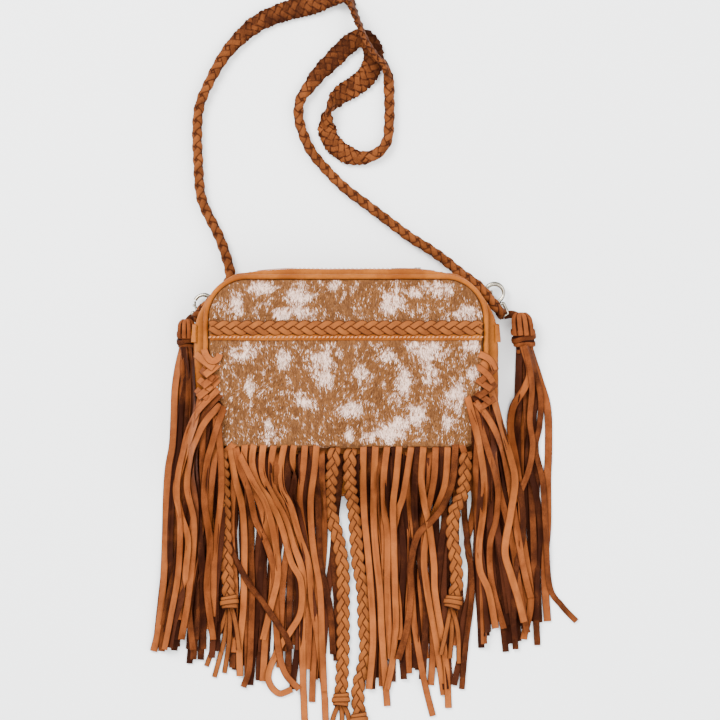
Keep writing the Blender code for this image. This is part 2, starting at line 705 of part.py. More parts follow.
STRAP_ROUTE = [
    (-0.1452, 0.0444, 0.0152), (-0.1432, 0.0462, 0.0170), (-0.1402, 0.0492, 0.0202),
    (-0.1356, 0.0545, 0.0214), (-0.1240, 0.0650, 0.0190), (-0.1139, 0.0770, 0.0130),
    (-0.1125, 0.0900, 0.0080), (-0.1217, 0.1197, 0.0065),
    (-0.1361, 0.1492, 0.0065), (-0.1410, 0.1661, 0.0065), (-0.1429, 0.1931, 0.0065),
    (-0.1439, 0.2211, 0.0065), (-0.1419, 0.2472, 0.0065), (-0.1323, 0.2713, 0.0065),
    (-0.1178, 0.2969, 0.0065), (-0.1014, 0.3157, 0.0065), (-0.0830, 0.3302, 0.0065),
    (-0.0570, 0.3408, 0.0065), (-0.0309, 0.3476, 0.0065), (-0.0154, 0.3543, 0.0065),
    (-0.0029, 0.3543, 0.0070), (0.0039, 0.3485, 0.0090), (0.0106, 0.3312, 0.0160),
    (0.0193, 0.3109, 0.0198), (0.0294, 0.2954, 0.0195), (0.0372, 0.2870, 0.0140),
    (0.0410, 0.2740, 0.0075), (0.0418, 0.2549, 0.0065), (0.0420, 0.2423, 0.0065),
    (0.0415, 0.2288, 0.0065), (0.0400, 0.2160, 0.0065), (0.0340, 0.2060, 0.0065),
    (0.0240, 0.2000, 0.0065), (0.0110, 0.1985, 0.0065), (-0.0030, 0.2040, 0.0065),
    (-0.0145, 0.2150, 0.0065), (-0.0188, 0.2300, 0.0065), (-0.0160, 0.2455, 0.0065),
    (-0.0058, 0.2588, 0.0065), (0.0077, 0.2674, 0.0065), (0.0193, 0.2770, 0.0065),
    (0.0258, 0.2900, 0.0065), (0.0262, 0.3020, 0.0065), (0.0212, 0.3115, 0.0065),
    (0.0116, 0.3138, 0.0065), (0.0000, 0.3061, 0.0065), (-0.0135, 0.2925, 0.0065),
    (-0.0261, 0.2800, 0.0065), (-0.0357, 0.2670, 0.0065), (-0.0435, 0.2560, 0.0065),
    (-0.0460, 0.2430, 0.0065), (-0.0439, 0.2288, 0.0065), (-0.0348, 0.2066, 0.0065),
    (-0.0203, 0.1883, 0.0065), (-0.0014, 0.1694, 0.0065), (0.0208, 0.1525, 0.0065),
    (0.0425, 0.1361, 0.0065), (0.0618, 0.1217, 0.0065), (0.0800, 0.1105, 0.0070),
    (0.0956, 0.0994, 0.0085), (0.1060, 0.0905, 0.0120), (0.1165, 0.0825, 0.0170),
    (0.1265, 0.0750, 0.0210), (0.1335, 0.0680, 0.0216), (0.1405, 0.0595, 0.0216),
    (0.1455, 0.0530, 0.0206), (0.1490, 0.0488, 0.0170), (0.1510, 0.0464, 0.0152),
]
KNOT_PATH = {-1: [(*beside(-1, 0.0030, 0.0400), 0.0105), (*beside(-1, 0.0065, 0.0090), 0.0040)],
             1: [(*beside(1, 0.0120, 0.0455), 0.0105), (*beside(1, 0.0248, 0.0085), 0.0040)]}
KNOT_WIDTH = {-1: 0.0176, 1: 0.0240}
KNOT_HEIGHT = 0.0190
TASSEL_NECK_HALF = 0.0045
TASSEL_STRAND_HALF = 0.0021
TASSEL_ROOT_DROP = 0.0200
TASSEL_ROOT_SPREAD = 0.0144
TASSEL_ENDS = {-1: [(-0.1850, -0.2790), (-0.1775, -0.2700), (-0.1695, -0.2730), (-0.1615, -0.2770),
                    (-0.1540, -0.2690)],
               1: [(0.1600, -0.2740), (0.1680, -0.2770), (0.1765, -0.2720), (0.1850, -0.2640),
                   (0.1935, -0.2560), (0.2020, -0.2500)]}
THONG_TOPS = [-0.1085, -0.0965, -0.0865, -0.0772, -0.0678, -0.0582, -0.0484, -0.0381, -0.0280,
              0.0176, 0.0290, 0.0406, 0.0520, 0.0630, 0.0743, 0.0855, 0.0965, 0.1085]
THONG_ENDS = [-0.288, -0.300, -0.306, -0.300, -0.318, -0.332, -0.346, -0.356, -0.362,
              -0.364, -0.360, -0.352, -0.344, -0.338, -0.334, -0.326, -0.314, -0.296]
DROPS = {"a": (-0.1222, -0.236, -0.300), "b": (-0.0106, -0.326, -0.366),
         "c": (0.0050, -0.352, -0.378), "d": (0.1215, -0.236, -0.292)}
SIDE_THONGS = {-1: [(-0.020, -0.1930, -0.262), (-0.042, -0.1770, -0.276), (-0.064, -0.1600, -0.284)],
               1: [(-0.020, 0.2010, -0.250), (-0.042, 0.1830, -0.268), (-0.064, 0.1640, -0.280)]}


def build_strap():
    """Build the braided strap as one plain tube along its whole route."""
    points = smooth_route(STRAP_ROUTE, STRAP_POINT_SPACING)
    wire("strap", points, STRAP_RADIUS, CARAMEL, sides=2, roughness=0.6, metallic=0.0)


def build_knot(side):
    """Build one wrapped knot of the strap below its clasp."""
    start, end = [Vector(p) for p in KNOT_PATH[side]]
    shape = [(0.00, 0.30), (0.06, 0.62), (0.16, 0.92), (0.24, 0.82), (0.34, 1.00), (0.44, 0.88),
             (0.54, 1.00), (0.64, 0.86), (0.74, 0.92), (0.84, 0.66), (0.92, 0.42), (1.00, 0.34)]
    sections = []
    for share, swell in shape:
        centre = start.lerp(end, share)
        width = KNOT_WIDTH[side] * swell
        height = min(KNOT_HEIGHT * swell, 2 * (centre.z - FLOOR_CLEARANCE))
        centre.z = max(height / 2 + FLOOR_CLEARANCE, KNOT_HEIGHT / 2 * (1 - share) + 0.004 * share)
        sections.append(flat_section(centre, (1, 0, 0), width, height, sides=12))
    loft("tassel_knot_" + SIDE_NAME[side], sections, SUEDE)


def build_tassel(side):
    """Build the loose strands below one knot as a fan of strips that are joined at the top."""
    neck = Vector(KNOT_PATH[side][1][:2]) + Vector((0, -0.0006))
    ends = [Vector(e) for e in TASSEL_ENDS[side]]
    count = len(ends)
    half = TASSEL_STRAND_HALF
    outline = [neck + Vector((-TASSEL_NECK_HALF, 0))]
    for i, end in enumerate(ends):
        root = neck + Vector((TASSEL_ROOT_SPREAD * ((i + 0.5) / count - 0.5), -TASSEL_ROOT_DROP))
        steps = 6
        spine = []
        for k in range(steps + 1):
            t = k / steps
            sway = 0.003 * math.sin(2.6 * math.pi * t + 0.1 * i) * math.sin(math.pi * t)
            spine.append(root.lerp(end, t) + Vector((sway, 0)))
        widths = [0.0010 + (half - 0.0010) * min(1.0, 1.6 * k / steps) for k in range(steps + 1)]
        outline += [p + Vector((-w, 0)) for p, w in zip(spine, widths)]
        outline += [p + Vector((w, 0)) for p, w in reversed(list(zip(spine, widths)))]
    outline.append(neck + Vector((TASSEL_NECK_HALF, 0)))
    made = plate("tassel_" + SIDE_NAME[side], outline, [], TASSEL_THICKNESS, SUEDE)
    made.location.z = FLOOR_CLEARANCE + TASSEL_THICKNESS / 2


def wall_profile(offset):
    """Return the bottom wall's run in Y and Z at one distance outside, from the front to the floor."""
    first = EDGE.blend(SHOULDER, FRINGE_HOLE_SHARE)
    raw = [(level.bottom, level.z) for level in [first] + WALL[1:]]
    points = []
    for i, (y, z) in enumerate(raw):
        before, after = raw[max(0, i - 1)], raw[min(len(raw) - 1, i + 1)]
        run = Vector((after[0] - before[0], after[1] - before[1])).normalized()
        points.append(Vector((y + run.y * offset, z - run.x * offset)))
    return points


def lane(x, y):
    """Return the X of a fringe lane at a height below the bag."""
    reach = min(1.0, max(0.0, (BODY_BOTTOM - y) / 0.23))
    sway = THONG_SWAY * math.sin(3.3 * math.pi * reach) * math.sin(math.pi * min(1.0, reach * 1.2))
    return x * (1 + THONG_FAN * reach) + sway


def fringe_run(offset, floor_z, end_y, steps):
    """Return the Y, Z points of a fringe lane from the bag's front edge to its end on the floor."""
    run = [p for p in wall_profile(offset)[:-1]]
    run = [p for p in run if p.y > floor_z]
    last = wall_profile(offset)[-1]
    run.append(Vector((last.x - 0.004, max(floor_z, last.y * 0.6 + floor_z * 0.4))))
    start = run[-1].x - 0.012
    for i in range(steps + 1):
        run.append(Vector((start + (end_y - start) * i / steps, floor_z)))
    return run


def strip_sections(centre_line, lane_x, width, thickness):
    """Return the four-cornered sections of a flat strip along a run in Y and Z."""
    sections = []
    for i, p in enumerate(centre_line):
        before, after = centre_line[max(0, i - 1)], centre_line[min(len(centre_line) - 1, i + 1)]
        run = (after - before).normalized()
        normal = Vector((-run.y, run.x))
        x = lane(lane_x, p.x)
        a, b = p + normal * thickness / 2, p - normal * thickness / 2
        sections.append([(x - width / 2, a.x, a.y), (x + width / 2, a.x, a.y),
                         (x + width / 2, b.x, b.y), (x - width / 2, b.x, b.y)])
    return sections


def build_thong(number, x, end_y):
    """Build one folded thong: its front tail and, under it, its back tail."""
    low = 0.0006 + THONG_THICKNESS / 2
    high = low + THONG_THICKNESS + CONTACT_GAP
    front = fringe_run(WALL_CLEARANCE + THONG_THICKNESS + CONTACT_GAP, high, end_y, 5)
    back = fringe_run(WALL_CLEARANCE, low, end_y + 0.014, 5)
    middle = (front[0] + back[0]) / 2
    fold = middle + (front[0] - front[1]).normalized() * THONG_THICKNESS * 0.9
    line = list(reversed(back)) + [fold] + front
    sections = strip_sections(line, x, THONG_WIDTH, THONG_THICKNESS)
    loft("thong_%02d" % number, sections, SUEDE)


def build_drop(letter, x, knot_y, end_y):
    """Build one braided drop with the knot and the loose tails at its end."""
    offset = 0.0004 + DROP_THICKNESS / 2
    floor_z = FLOOR_CLEARANCE + DROP_THICKNESS / 2 + 0.0006
    run = fringe_run(offset, floor_z, knot_y, 1)
    line = run[:-2]
    count = round((line[-1].x - knot_y) / (DROP_PITCH / 2))
    last = line[-1]
    line += [Vector((last.x + (knot_y - last.x) * (i + 1) / count, floor_z)) for i in range(count)]
    sections = []
    for i, p in enumerate(line):
        before, after = line[max(0, i - 1)], line[min(len(line) - 1, i + 1)]
        way = (after - before).normalized()
        normal = (0, -way.y, way.x) if way.x > 0 else (0, way.y, -way.x)
        swell = 1.0 if i % 2 else 0.84
        sections.append(flat_section((lane(x, p.x), p.x, p.y), (1, 0, 0), DROP_WIDTH * swell,
                                     DROP_THICKNESS, normal))
    for step, width, height in ((0.002, 0.86, 1.5), (0.005, 1.0, 1.8), (0.009, 1.0, 1.8), (0.012, 0.7, 1.2)):
        y = knot_y - step
        tall = DROP_THICKNESS * height
        sections.append(flat_section((lane(x, y), y, FLOOR_CLEARANCE + 0.0006 + tall / 2), (1, 0, 0),
                                     DROP_KNOT_WIDTH * width, tall))
    for share in (0.3, 1.0):
        y = knot_y - 0.012 + (end_y - knot_y + 0.012) * share
        sections.append(flat_section((lane(x, y), y, FLOOR_CLEARANCE + 0.0026), (1, 0, 0),
                                     DROP_KNOT_WIDTH * (0.8 + 0.15 * share), 0.0036))
    loft("braided_drop_" + letter, sections, SUEDE)


def build_side_thong(side, number, start_y, end_x, end_y):
    """Build one thong that hangs over the side edge and lies out beside the bag."""
    over = [(0.1285, 0.0484), (0.1335, 0.0468), (0.1400, 0.0424), (0.1470, 0.0372), (0.1505, 0.0300),
            (0.1515, 0.0200), (0.1535, 0.0110), (0.1560, 0.0068)]
    height = SIDE_THONG_HEIGHT
    line = []
    spread = SIDE_THONG_STEP * (len(SIDE_THONGS[side]) - number)
    for i, (x, z) in enumerate(over):
        out = spread * max(0.0, (i - 3) / (len(over) - 4))
        line.append(Vector((side * (x + out), start_y - 0.0030 * i, z)))
    first = line[-1]
    for i in range(1, 7):
        t = i / 6
        sway = 0.004 * math.sin(2.5 * math.pi * t)
        line.append(Vector((first.x + (end_x - first.x) * t ** 1.2 + sway,
                            first.y + (end_y - first.y) * t, height)))
    sections = []
    for i, p in enumerate(line):
        before, after = line[max(0, i - 1)], line[min(len(line) - 1, i + 1)]
        way = (after - before).normalized()
        up = Vector((0, 0, 1)) if i >= len(over) - 1 else Vector((side * 0.6, 0.1, 0.8))
        across = way.cross(up).normalized()
        normal = across.cross(way).normalized()
        a, b = across * THONG_WIDTH / 2, normal * THONG_THICKNESS / 2
        sections.append([p - a + b, p + a + b, p + a - b, p - a - b])
    loft("side_thong_%s_%d" % (SIDE_NAME[side], number), sections, SUEDE)


build_strap()
for one_side in (-1, 1):
    build_knot(one_side)
    build_tassel(one_side)
    for index, (from_y, to_x, to_y) in enumerate(SIDE_THONGS[one_side]):
        build_side_thong(one_side, index + 1, from_y, to_x, to_y)
for index, (top_x, low_y) in enumerate(zip(THONG_TOPS, THONG_ENDS)):
    build_thong(index + 1, top_x, low_y)
for key, (top_x, knot_at, tail_at) in DROPS.items():
    build_drop(key, top_x, knot_at, tail_at)
for one_side in (-1, 1):
    build_tab(one_side)
    build_ring(one_side)
    build_clasp(one_side)
build_body()
build_lining()
build_piping()
build_zip()
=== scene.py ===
"""The looks of a fringed leather bag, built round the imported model.

Lengths are in metres. The bag lies on its back on the floor: X runs to the right, Y towards the
bag's top edge, and Z up out of its front.
"""

import json
import logging
import math
import random
from dataclasses import dataclass, replace
from enum import Enum
from typing import Dict, List, Optional, Sequence, Tuple, Union

import bmesh
import bpy
import numpy as np
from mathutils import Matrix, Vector, noise
from mathutils.bvhtree import BVHTree

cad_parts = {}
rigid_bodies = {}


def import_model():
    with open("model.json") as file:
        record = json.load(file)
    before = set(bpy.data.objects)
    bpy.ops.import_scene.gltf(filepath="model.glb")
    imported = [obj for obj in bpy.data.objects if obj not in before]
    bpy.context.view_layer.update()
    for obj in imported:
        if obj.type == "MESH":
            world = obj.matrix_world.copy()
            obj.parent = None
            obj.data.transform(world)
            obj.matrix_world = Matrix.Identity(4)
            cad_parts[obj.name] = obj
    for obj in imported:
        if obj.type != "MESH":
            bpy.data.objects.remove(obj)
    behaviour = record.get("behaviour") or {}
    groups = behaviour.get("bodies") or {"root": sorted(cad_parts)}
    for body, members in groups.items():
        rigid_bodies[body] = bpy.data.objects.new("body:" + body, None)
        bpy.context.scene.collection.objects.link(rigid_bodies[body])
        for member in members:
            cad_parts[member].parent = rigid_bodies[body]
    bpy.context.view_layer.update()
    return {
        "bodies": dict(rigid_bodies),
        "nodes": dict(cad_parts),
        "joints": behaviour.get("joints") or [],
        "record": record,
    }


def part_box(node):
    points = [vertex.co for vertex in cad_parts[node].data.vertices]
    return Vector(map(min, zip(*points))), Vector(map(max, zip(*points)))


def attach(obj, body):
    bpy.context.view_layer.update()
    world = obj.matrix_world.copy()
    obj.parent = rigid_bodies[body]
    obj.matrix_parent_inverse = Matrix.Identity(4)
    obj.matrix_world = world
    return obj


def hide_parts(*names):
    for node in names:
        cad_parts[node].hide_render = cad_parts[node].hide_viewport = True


Colour = Tuple[float, float, float]
Point = Tuple[float, float, float]
Pixel = Tuple[float, float]

LOG = logging.getLogger("bag")

# The photograph's scale: one of its 720 pixels is this long on the bag, and the origin is here
PIXEL = 0.0009655
ORIGIN_PIXEL: Pixel = (346.0, 363.0)
FRAME_PIXELS = 720

# The least height of soft pieces above the floor
FLOOR_GAP = 0.0003
UP: Point = (0.0, 0.0, 1.0)


def from_photo(pixel: Pixel) -> Tuple[float, float]:
    """Turn a pixel of the photograph into X and Y on the bag."""
    return (pixel[0] - ORIGIN_PIXEL[0]) * PIXEL, (ORIGIN_PIXEL[1] - pixel[1]) * PIXEL


# Shader tools

class Signal:
    """A shader socket that takes part in arithmetic, where each step adds a Math node."""

    def __init__(self, graph: "Graph", socket: bpy.types.NodeSocket):
        """Wrap one output socket of a graph."""
        self.graph = graph
        self.socket = socket

    def __add__(self, other: "Value") -> "Signal":
        """Add another value."""
        return self.graph.math("ADD", self, other)

    def __radd__(self, other: "Value") -> "Signal":
        """Add this to a number."""
        return self.graph.math("ADD", other, self)

    def __sub__(self, other: "Value") -> "Signal":
        """Take another value away."""
        return self.graph.math("SUBTRACT", self, other)

    def __rsub__(self, other: "Value") -> "Signal":
        """Take this away from a number."""
        return self.graph.math("SUBTRACT", other, self)

    def __mul__(self, other: "Value") -> "Signal":
        """Multiply by another value."""
        return self.graph.math("MULTIPLY", self, other)

    def __rmul__(self, other: "Value") -> "Signal":
        """Multiply a number by this."""
        return self.graph.math("MULTIPLY", other, self)

    def __abs__(self) -> "Signal":
        """Return the size without its sign."""
        return self.graph.math("ABSOLUTE", self)

    def ramp(self, low: float, high: float) -> "Signal":
        """Go smoothly from 0 at one value to 1 at another."""
        return self.graph.add("ShaderNodeMapRange", {"interpolation_type": "SMOOTHSTEP"},
                              {0: self, 1: low, 2: high, 3: 0.0, 4: 1.0})


Value = Union[Signal, float]


class Graph:
    """A material's node tree, built up from signals."""

    def __init__(self, name: str):
        """Start a material that has one Principled shader.

        Args:
            name: The material's name.
        """
        self.material = bpy.data.materials.new(name)
        self.material.use_nodes = True
        self.tree = self.material.node_tree
        self.shader = self.tree.nodes["Principled BSDF"]

    def put(self, socket: bpy.types.NodeSocket, value: object) -> None:
        """Feed a socket from a signal, a number or a colour.

        Args:
            socket: The input socket.
            value: A signal to link or a constant to set.
        """
        if isinstance(value, Signal):
            self.tree.links.new(value.socket, socket)
        elif isinstance(value, tuple) and len(value) == 3 and socket.type == "RGBA":
            socket.default_value = (*value, 1.0)
        else:
            socket.default_value = value

    def add(self, kind: str, settings: Dict[str, object], inputs: Dict[object, object],
            output: int = 0) -> Signal:
        """Add one node.

        Args:
            kind: The node's type.
            settings: Its properties, which are set first.
            inputs: Its inputs by index or name.
            output: Which output to return.

        Returns:
            The chosen output.
        """
        node = self.tree.nodes.new(kind)
        for key, value in settings.items():
            setattr(node, key, value)
        for key, value in inputs.items():
            self.put(node.inputs[key], value)
        return Signal(self, node.outputs[output])

    def math(self, operation: str, *values: Value) -> Signal:
        """Add a Math node."""
        return self.add("ShaderNodeMath", {"operation": operation}, dict(enumerate(values)))

    def mix(self, share: Value, first: object, second: object) -> Signal:
        """Mix two colours by a share."""
        return self.add("ShaderNodeMix", {"data_type": "RGBA", "clamp_factor": True},
                        {0: share, 6: first, 7: second}, output=2)

    def place(self, stretch: Point = (1.0, 1.0, 1.0)) -> Signal:
        """Return the place on the piece, stretched along each axis."""
        at = self.add("ShaderNodeTexCoord", {}, {}, output=3)
        return self.add("ShaderNodeVectorMath", {"operation": "MULTIPLY"}, {0: at, 1: stretch})

    def noise(self, place: Signal, scale: float, detail: float = 3.0, rough: float = 0.55) -> Signal:
        """Return cloudy noise at a scale, in lumps per metre."""
        return self.add("ShaderNodeTexNoise", {}, {"Vector": place, "Scale": scale, "Detail": detail,
                                                   "Roughness": rough})

    def cells(self, place: Signal, scale: float) -> Signal:
        """Return the distance to the nearest of many scattered points."""
        return self.add("ShaderNodeTexVoronoi", {"feature": "F1"}, {"Vector": place, "Scale": scale})

    def attribute(self, name: str) -> Signal:
        """Return a value that the mesh carries at each point."""
        return self.add("ShaderNodeAttribute", {"attribute_name": name}, {}, output=2)

    def surface(self) -> Tuple[Signal, Signal, Signal]:
        """Read what the mesh carries of a strip's own surface.

        Returns:
            How far across and how far along each point is, and whether it is on the back.
        """
        pair = self.add("ShaderNodeAttribute", {"attribute_name": "surface"}, {}, output=1)
        parts = self.tree.nodes.new("ShaderNodeSeparateXYZ")
        self.put(parts.inputs[0], pair)
        return tuple(Signal(self, part) for part in parts.outputs)

    def relief(self, height: Signal, depth: float, strength: float = 1.0) -> None:
        """Emboss the surface by a height from 0 to 1, with its depth in metres."""
        bump = self.add("ShaderNodeBump", {}, {"Strength": strength, "Distance": depth, "Height": height})
        self.put(self.shader.inputs["Normal"], bump)

    def finish(self, colour: object, roughness: object, **constants: float) -> bpy.types.Material:
        """Set the shader's main inputs.

        Args:
            colour: The base colour.
            roughness: The roughness.
            constants: Other inputs, named with underscores for spaces.

        Returns:
            The material.
        """
        self.put(self.shader.inputs["Base Color"], colour)
        self.put(self.shader.inputs["Roughness"], roughness)
        for key, value in constants.items():
            self.put(self.shader.inputs[key.replace("_", " ")], value)
        return self.material


# Finishes

# The colour of the shine on waxed leather
WARM: Colour = (1.0, 0.62, 0.36)


@dataclass(frozen=True)
class LeatherFinish:
    """Smooth leather with grain, soft creases, uneven dye and painted shade along its seams."""

    name: str
    light: Colour
    dark: Colour
    grain: float = 0.0011
    crease: float = 0.012
    gloss: float = 0.52
    # The colour of the painted shade along seams, where the mesh's tone is high
    seam_shade_colour: Colour = (0.030, 0.0070, 0.0025)
    dye_scale: float = 26.0
    fleck_scale: float = 420.0
    emboss: float = 0.0011
    shine: float = 0.08

    def material(self) -> bpy.types.Material:
        """Make the leather's material.

        Returns:
            The material, with all its nodes.
        """
        graph = Graph(self.name)
        place = graph.place()
        dye = graph.noise(place, self.dye_scale, 4.0).ramp(0.34, 0.68)
        fleck = graph.noise(place, self.fleck_scale, 2.0)
        shade = dye * 0.72 + fleck * 0.34
        grain = graph.cells(place, 1.0 / self.grain)
        crease = graph.noise(graph.place((1.0, 1.0, 1.7)), 1.0 / self.crease, 3.0).ramp(0.30, 0.75)
        colour = graph.mix(shade.ramp(0.05, 0.95), self.dark, self.light)
        # Painted shade: where the mesh's tone rises above 0.55 the leather darkens towards the seam shade
        # colour
        colour = graph.mix(graph.attribute("tone").ramp(0.55, 1.0) * 0.85, colour, self.seam_shade_colour)
        graph.relief(grain * 0.20 + crease * 0.9 + fleck * 0.12, self.emboss, 0.5)
        return graph.finish(colour, self.gloss + fleck * 0.16 - dye * 0.08,
                            Specular_IOR_Level=self.shine, Specular_Tint=WARM)


@dataclass(frozen=True)
class LaceFinish:
    """Cut leather strips: a dyed face, a napped suede back, and painted shade along both edges of the face.
    """

    name: str
    light: Colour
    middle: Colour
    dark: Colour
    suede: Colour
    nap: float = 0.0006
    # Where the painted shade along the face's edges begins and where it is full, as shares of the half width
    rim: float = 0.78
    edge: float = 1.0
    cloud_scale: float = 55.0
    emboss: float = 0.0007
    shine: float = 0.06

    def material(self) -> bpy.types.Material:
        """Make the strips' material.

        Returns:
            The material, with all its nodes.
        """
        graph = Graph(self.name)
        across, _, underside = graph.surface()
        tone = graph.attribute("tone")
        place = graph.place()
        cloud = graph.noise(place, self.cloud_scale, 4.0)
        nap = graph.noise(place, 1.0 / self.nap, 3.0)
        shade = tone + (cloud - 0.5) * 0.55 + (nap - 0.5) * 0.42
        face = graph.mix(shade.ramp(0.12, 0.62), self.dark, self.middle)
        face = graph.mix(shade.ramp(0.45, 1.05), face, self.light)
        back = graph.mix((nap * 0.6 + cloud * 0.5).ramp(0.3, 0.75), self.dark, self.suede)
        # Painted shade: the face darkens along both edges, where the strips meet the gaps between them
        rim = abs(across).ramp(self.rim, self.edge)
        face = graph.mix(rim * 0.92, face, self.dark)
        colour = graph.mix(underside, face, back)
        graph.relief(nap * 0.5 + cloud * 0.8, self.emboss, 0.55)
        return graph.finish(colour, 0.62 + nap * 0.22, Specular_IOR_Level=self.shine,
                            Specular_Tint=WARM)


@dataclass(frozen=True)
class HideFinish:
    """Short-haired hide: brown and white hair mixed in streaks and patches."""

    name: str
    brown: Colour
    dark: Colour
    white: Colour
    streak_scale: float = 700.0
    fine_scale: float = 1900.0
    deep_scale: float = 420.0
    lie: Point = (1.0, 0.32, 1.0)
    emboss: float = 0.0008

    def material(self) -> bpy.types.Material:
        """Make the hide's material.

        Returns:
            The material, with all its nodes.
        """
        graph = Graph(self.name)
        lie = graph.place(self.lie)
        streak = graph.noise(lie, self.streak_scale, 3.0, 0.6)
        fine = graph.noise(lie, self.fine_scale, 2.0, 0.6)
        share = graph.attribute("tone") + (streak - 0.5) * 0.9 + (fine - 0.5) * 0.5
        deep = graph.noise(lie, self.deep_scale, 2.0).ramp(0.38, 0.60)
        coat = graph.mix(deep, self.dark, self.brown)
        colour = graph.mix(share.ramp(0.45, 0.75), coat, self.white)
        graph.relief(streak * 0.5 + fine * 0.5, self.emboss, 0.7)
        return graph.finish(colour, 0.72, Specular_IOR_Level=0.12)


@dataclass(frozen=True)
class HairFinish:
    """Single hairs, each with a tone of its own that lightens towards the tip."""

    name: str
    brown: Colour
    dark: Colour
    white: Colour

    def material(self) -> bpy.types.Material:
        """Make the hairs' material.

        Returns:
            The material, with all its nodes.
        """
        graph = Graph(self.name)
        _, along, _ = graph.surface()
        tone = graph.attribute("tone")
        coat = graph.mix(tone.ramp(0.0, 0.45), self.dark, self.brown)
        colour = graph.mix(tone.ramp(0.45, 0.75), coat, self.white)
        colour = graph.mix((1.0 - along).ramp(0.3, 1.2) * 0.5, colour, self.dark)
        return graph.finish(colour, 0.50, Specular_IOR_Level=0.08)


@dataclass(frozen=True)
class MetalFinish:
    """Plated metal with fine scratches, a slightly warm cast, painted reflections in lumps and painted shade
    along one side of each rod.
    """

    name: str
    # The light and dark colours of the painted reflections, then the painted shade on the rods' sides
    bright: Colour
    dull: Colour
    rod_side_shade: Colour
    scratch_scale: float = 1400.0
    cloud_scale: float = 240.0
    scratch_depth: float = 0.0001

    def material(self) -> bpy.types.Material:
        """Make the metal's material.

        Returns:
            The material, with all its nodes.
        """
        graph = Graph(self.name)
        place = graph.place()
        scratch = graph.noise(graph.place((1.0, 5.0, 2.0)), self.scratch_scale, 2.0)
        cloud = graph.noise(place, self.cloud_scale, 3.0)
        around, _, _ = graph.surface()
        # Painted reflections: lumps of noise mix the light and dark reflection colours
        colour = graph.mix(cloud.ramp(0.3, 0.8), self.bright, self.dull)
        # Painted shade: each rod darkens nearly to black along a third of its round, from its own underside
        # to one side
        colour = graph.mix(abs(around).ramp(0.45, 0.85), colour, self.rod_side_shade)
        graph.relief(scratch, self.scratch_depth, 0.15)
        return graph.finish(colour, 0.16 + cloud * 0.14 + scratch * 0.08, Metallic=1.0)


@dataclass(frozen=True)
class ClothFinish:
    """Plain woven cloth."""

    name: str
    light: Colour
    dark: Colour
    thread: float = 0.0007

    def material(self) -> bpy.types.Material:
        """Make the cloth's material.

        Returns:
            The material, with all its nodes.
        """
        graph = Graph(self.name)
        place = graph.place()
        weave = [graph.add("ShaderNodeTexWave", {"wave_type": "BANDS", "bands_direction": way},
                           {"Vector": place, "Scale": 0.16 / self.thread, "Distortion": 0.4})
                 for way in ("X", "Z", "DIAGONAL")]
        cover = weave[0] * 0.4 + weave[1] * 0.4 + weave[2] * 0.2
        colour = graph.mix(cover.ramp(0.2, 0.8), self.dark, self.light)
        graph.relief(cover, self.thread * 0.5, 0.6)
        return graph.finish(colour, 0.86, Specular_IOR_Level=0.15)


@dataclass(frozen=True)
class ThreadFinish:
    """Waxed thread, twisted from two plies."""

    name: str
    light: Colour
    dark: Colour
    twist: float = 3600.0
    fleck_scale: float = 900.0
    ply_depth: float = 0.0002

    def material(self) -> bpy.types.Material:
        """Make the thread's material.

        Returns:
            The material, with all its nodes.
        """
        graph = Graph(self.name)
        across, along, _ = graph.surface()
        ply = graph.math("SINE", along * self.twist + across * 3.0)
        fleck = graph.noise(graph.place(), self.fleck_scale, 2.0)
        colour = graph.mix((ply * 0.25 + fleck).ramp(0.2, 0.8), self.dark, self.light)
        graph.relief(ply, self.ply_depth, 0.5)
        return graph.finish(colour, 0.55)


@dataclass(frozen=True)
class FloorFinish:
    """Pale matt board with the faintest mottle."""

    name: str
    light: Colour
    dark: Colour

    def material(self) -> bpy.types.Material:
        """Make the floor's material.

        Returns:
            The material, with all its nodes.
        """
        graph = Graph(self.name)
        cloud = graph.noise(graph.place(), 3.0, 2.0)
        return graph.finish(graph.mix(cloud.ramp(0.3, 0.7), self.dark, self.light), 0.9,
                            Specular_IOR_Level=0.1)


CARAMEL = LeatherFinish("caramel_leather", (0.262, 0.076, 0.0105), (0.158, 0.039, 0.0055))
BACK_LEATHER = LeatherFinish("back_leather", (0.190, 0.058, 0.0120), (0.120, 0.034, 0.0080),
                             crease=0.02)
LACE = LaceFinish("lace_leather", (0.334, 0.100, 0.0225), (0.172, 0.045, 0.0120),
                  (0.017, 0.0040, 0.0022), (0.056, 0.0145, 0.0062))
# The plait's painted edge shade reaches further in, drawing dark outlines round each cell
BRAID = LaceFinish("braid_leather", (0.266, 0.081, 0.0165), (0.158, 0.045, 0.0115),
                   (0.017, 0.0040, 0.0020), (0.046, 0.0125, 0.0062), rim=0.52, edge=0.92)
HIDE = HideFinish("hair_hide", (0.150, 0.0560, 0.0150), (0.075, 0.0270, 0.0080), (0.700, 0.470, 0.360))
HAIR = HairFinish("hide_hair", (0.215, 0.0830, 0.0240), (0.105, 0.0380, 0.0110), (0.900, 0.640, 0.520))
# Nickel: the colours of its painted reflections, then of its painted shade
NICKEL = MetalFinish("nickel", (0.470, 0.420, 0.330), (0.200, 0.175, 0.130), (0.014, 0.012, 0.009))
ZIP_CLOTH = ClothFinish("zip_cloth", (0.030, 0.013, 0.0080), (0.012, 0.0055, 0.0035))
LINING_CLOTH = ClothFinish("lining_cloth", (0.075, 0.055, 0.040), (0.040, 0.028, 0.020), 0.0011)
THREAD = ThreadFinish("stitch_thread", (0.500, 0.190, 0.075), (0.250, 0.085, 0.026))
FLOOR = FloorFinish("pale_floor", (0.920, 0.925, 0.920), (0.900, 0.905, 0.900))


class Palette:
    """Makes each finish once and hands out its material."""

    def __init__(self) -> None:
        """Start with no materials."""
        self.made: Dict[str, bpy.types.Material] = {}

    def __getitem__(self, finish: object) -> bpy.types.Material:
        """Return a finish's material, made when it is first asked for."""
        if finish.name not in self.made:
            self.made[finish.name] = finish.material()
        return self.made[finish.name]


# Mesh tools

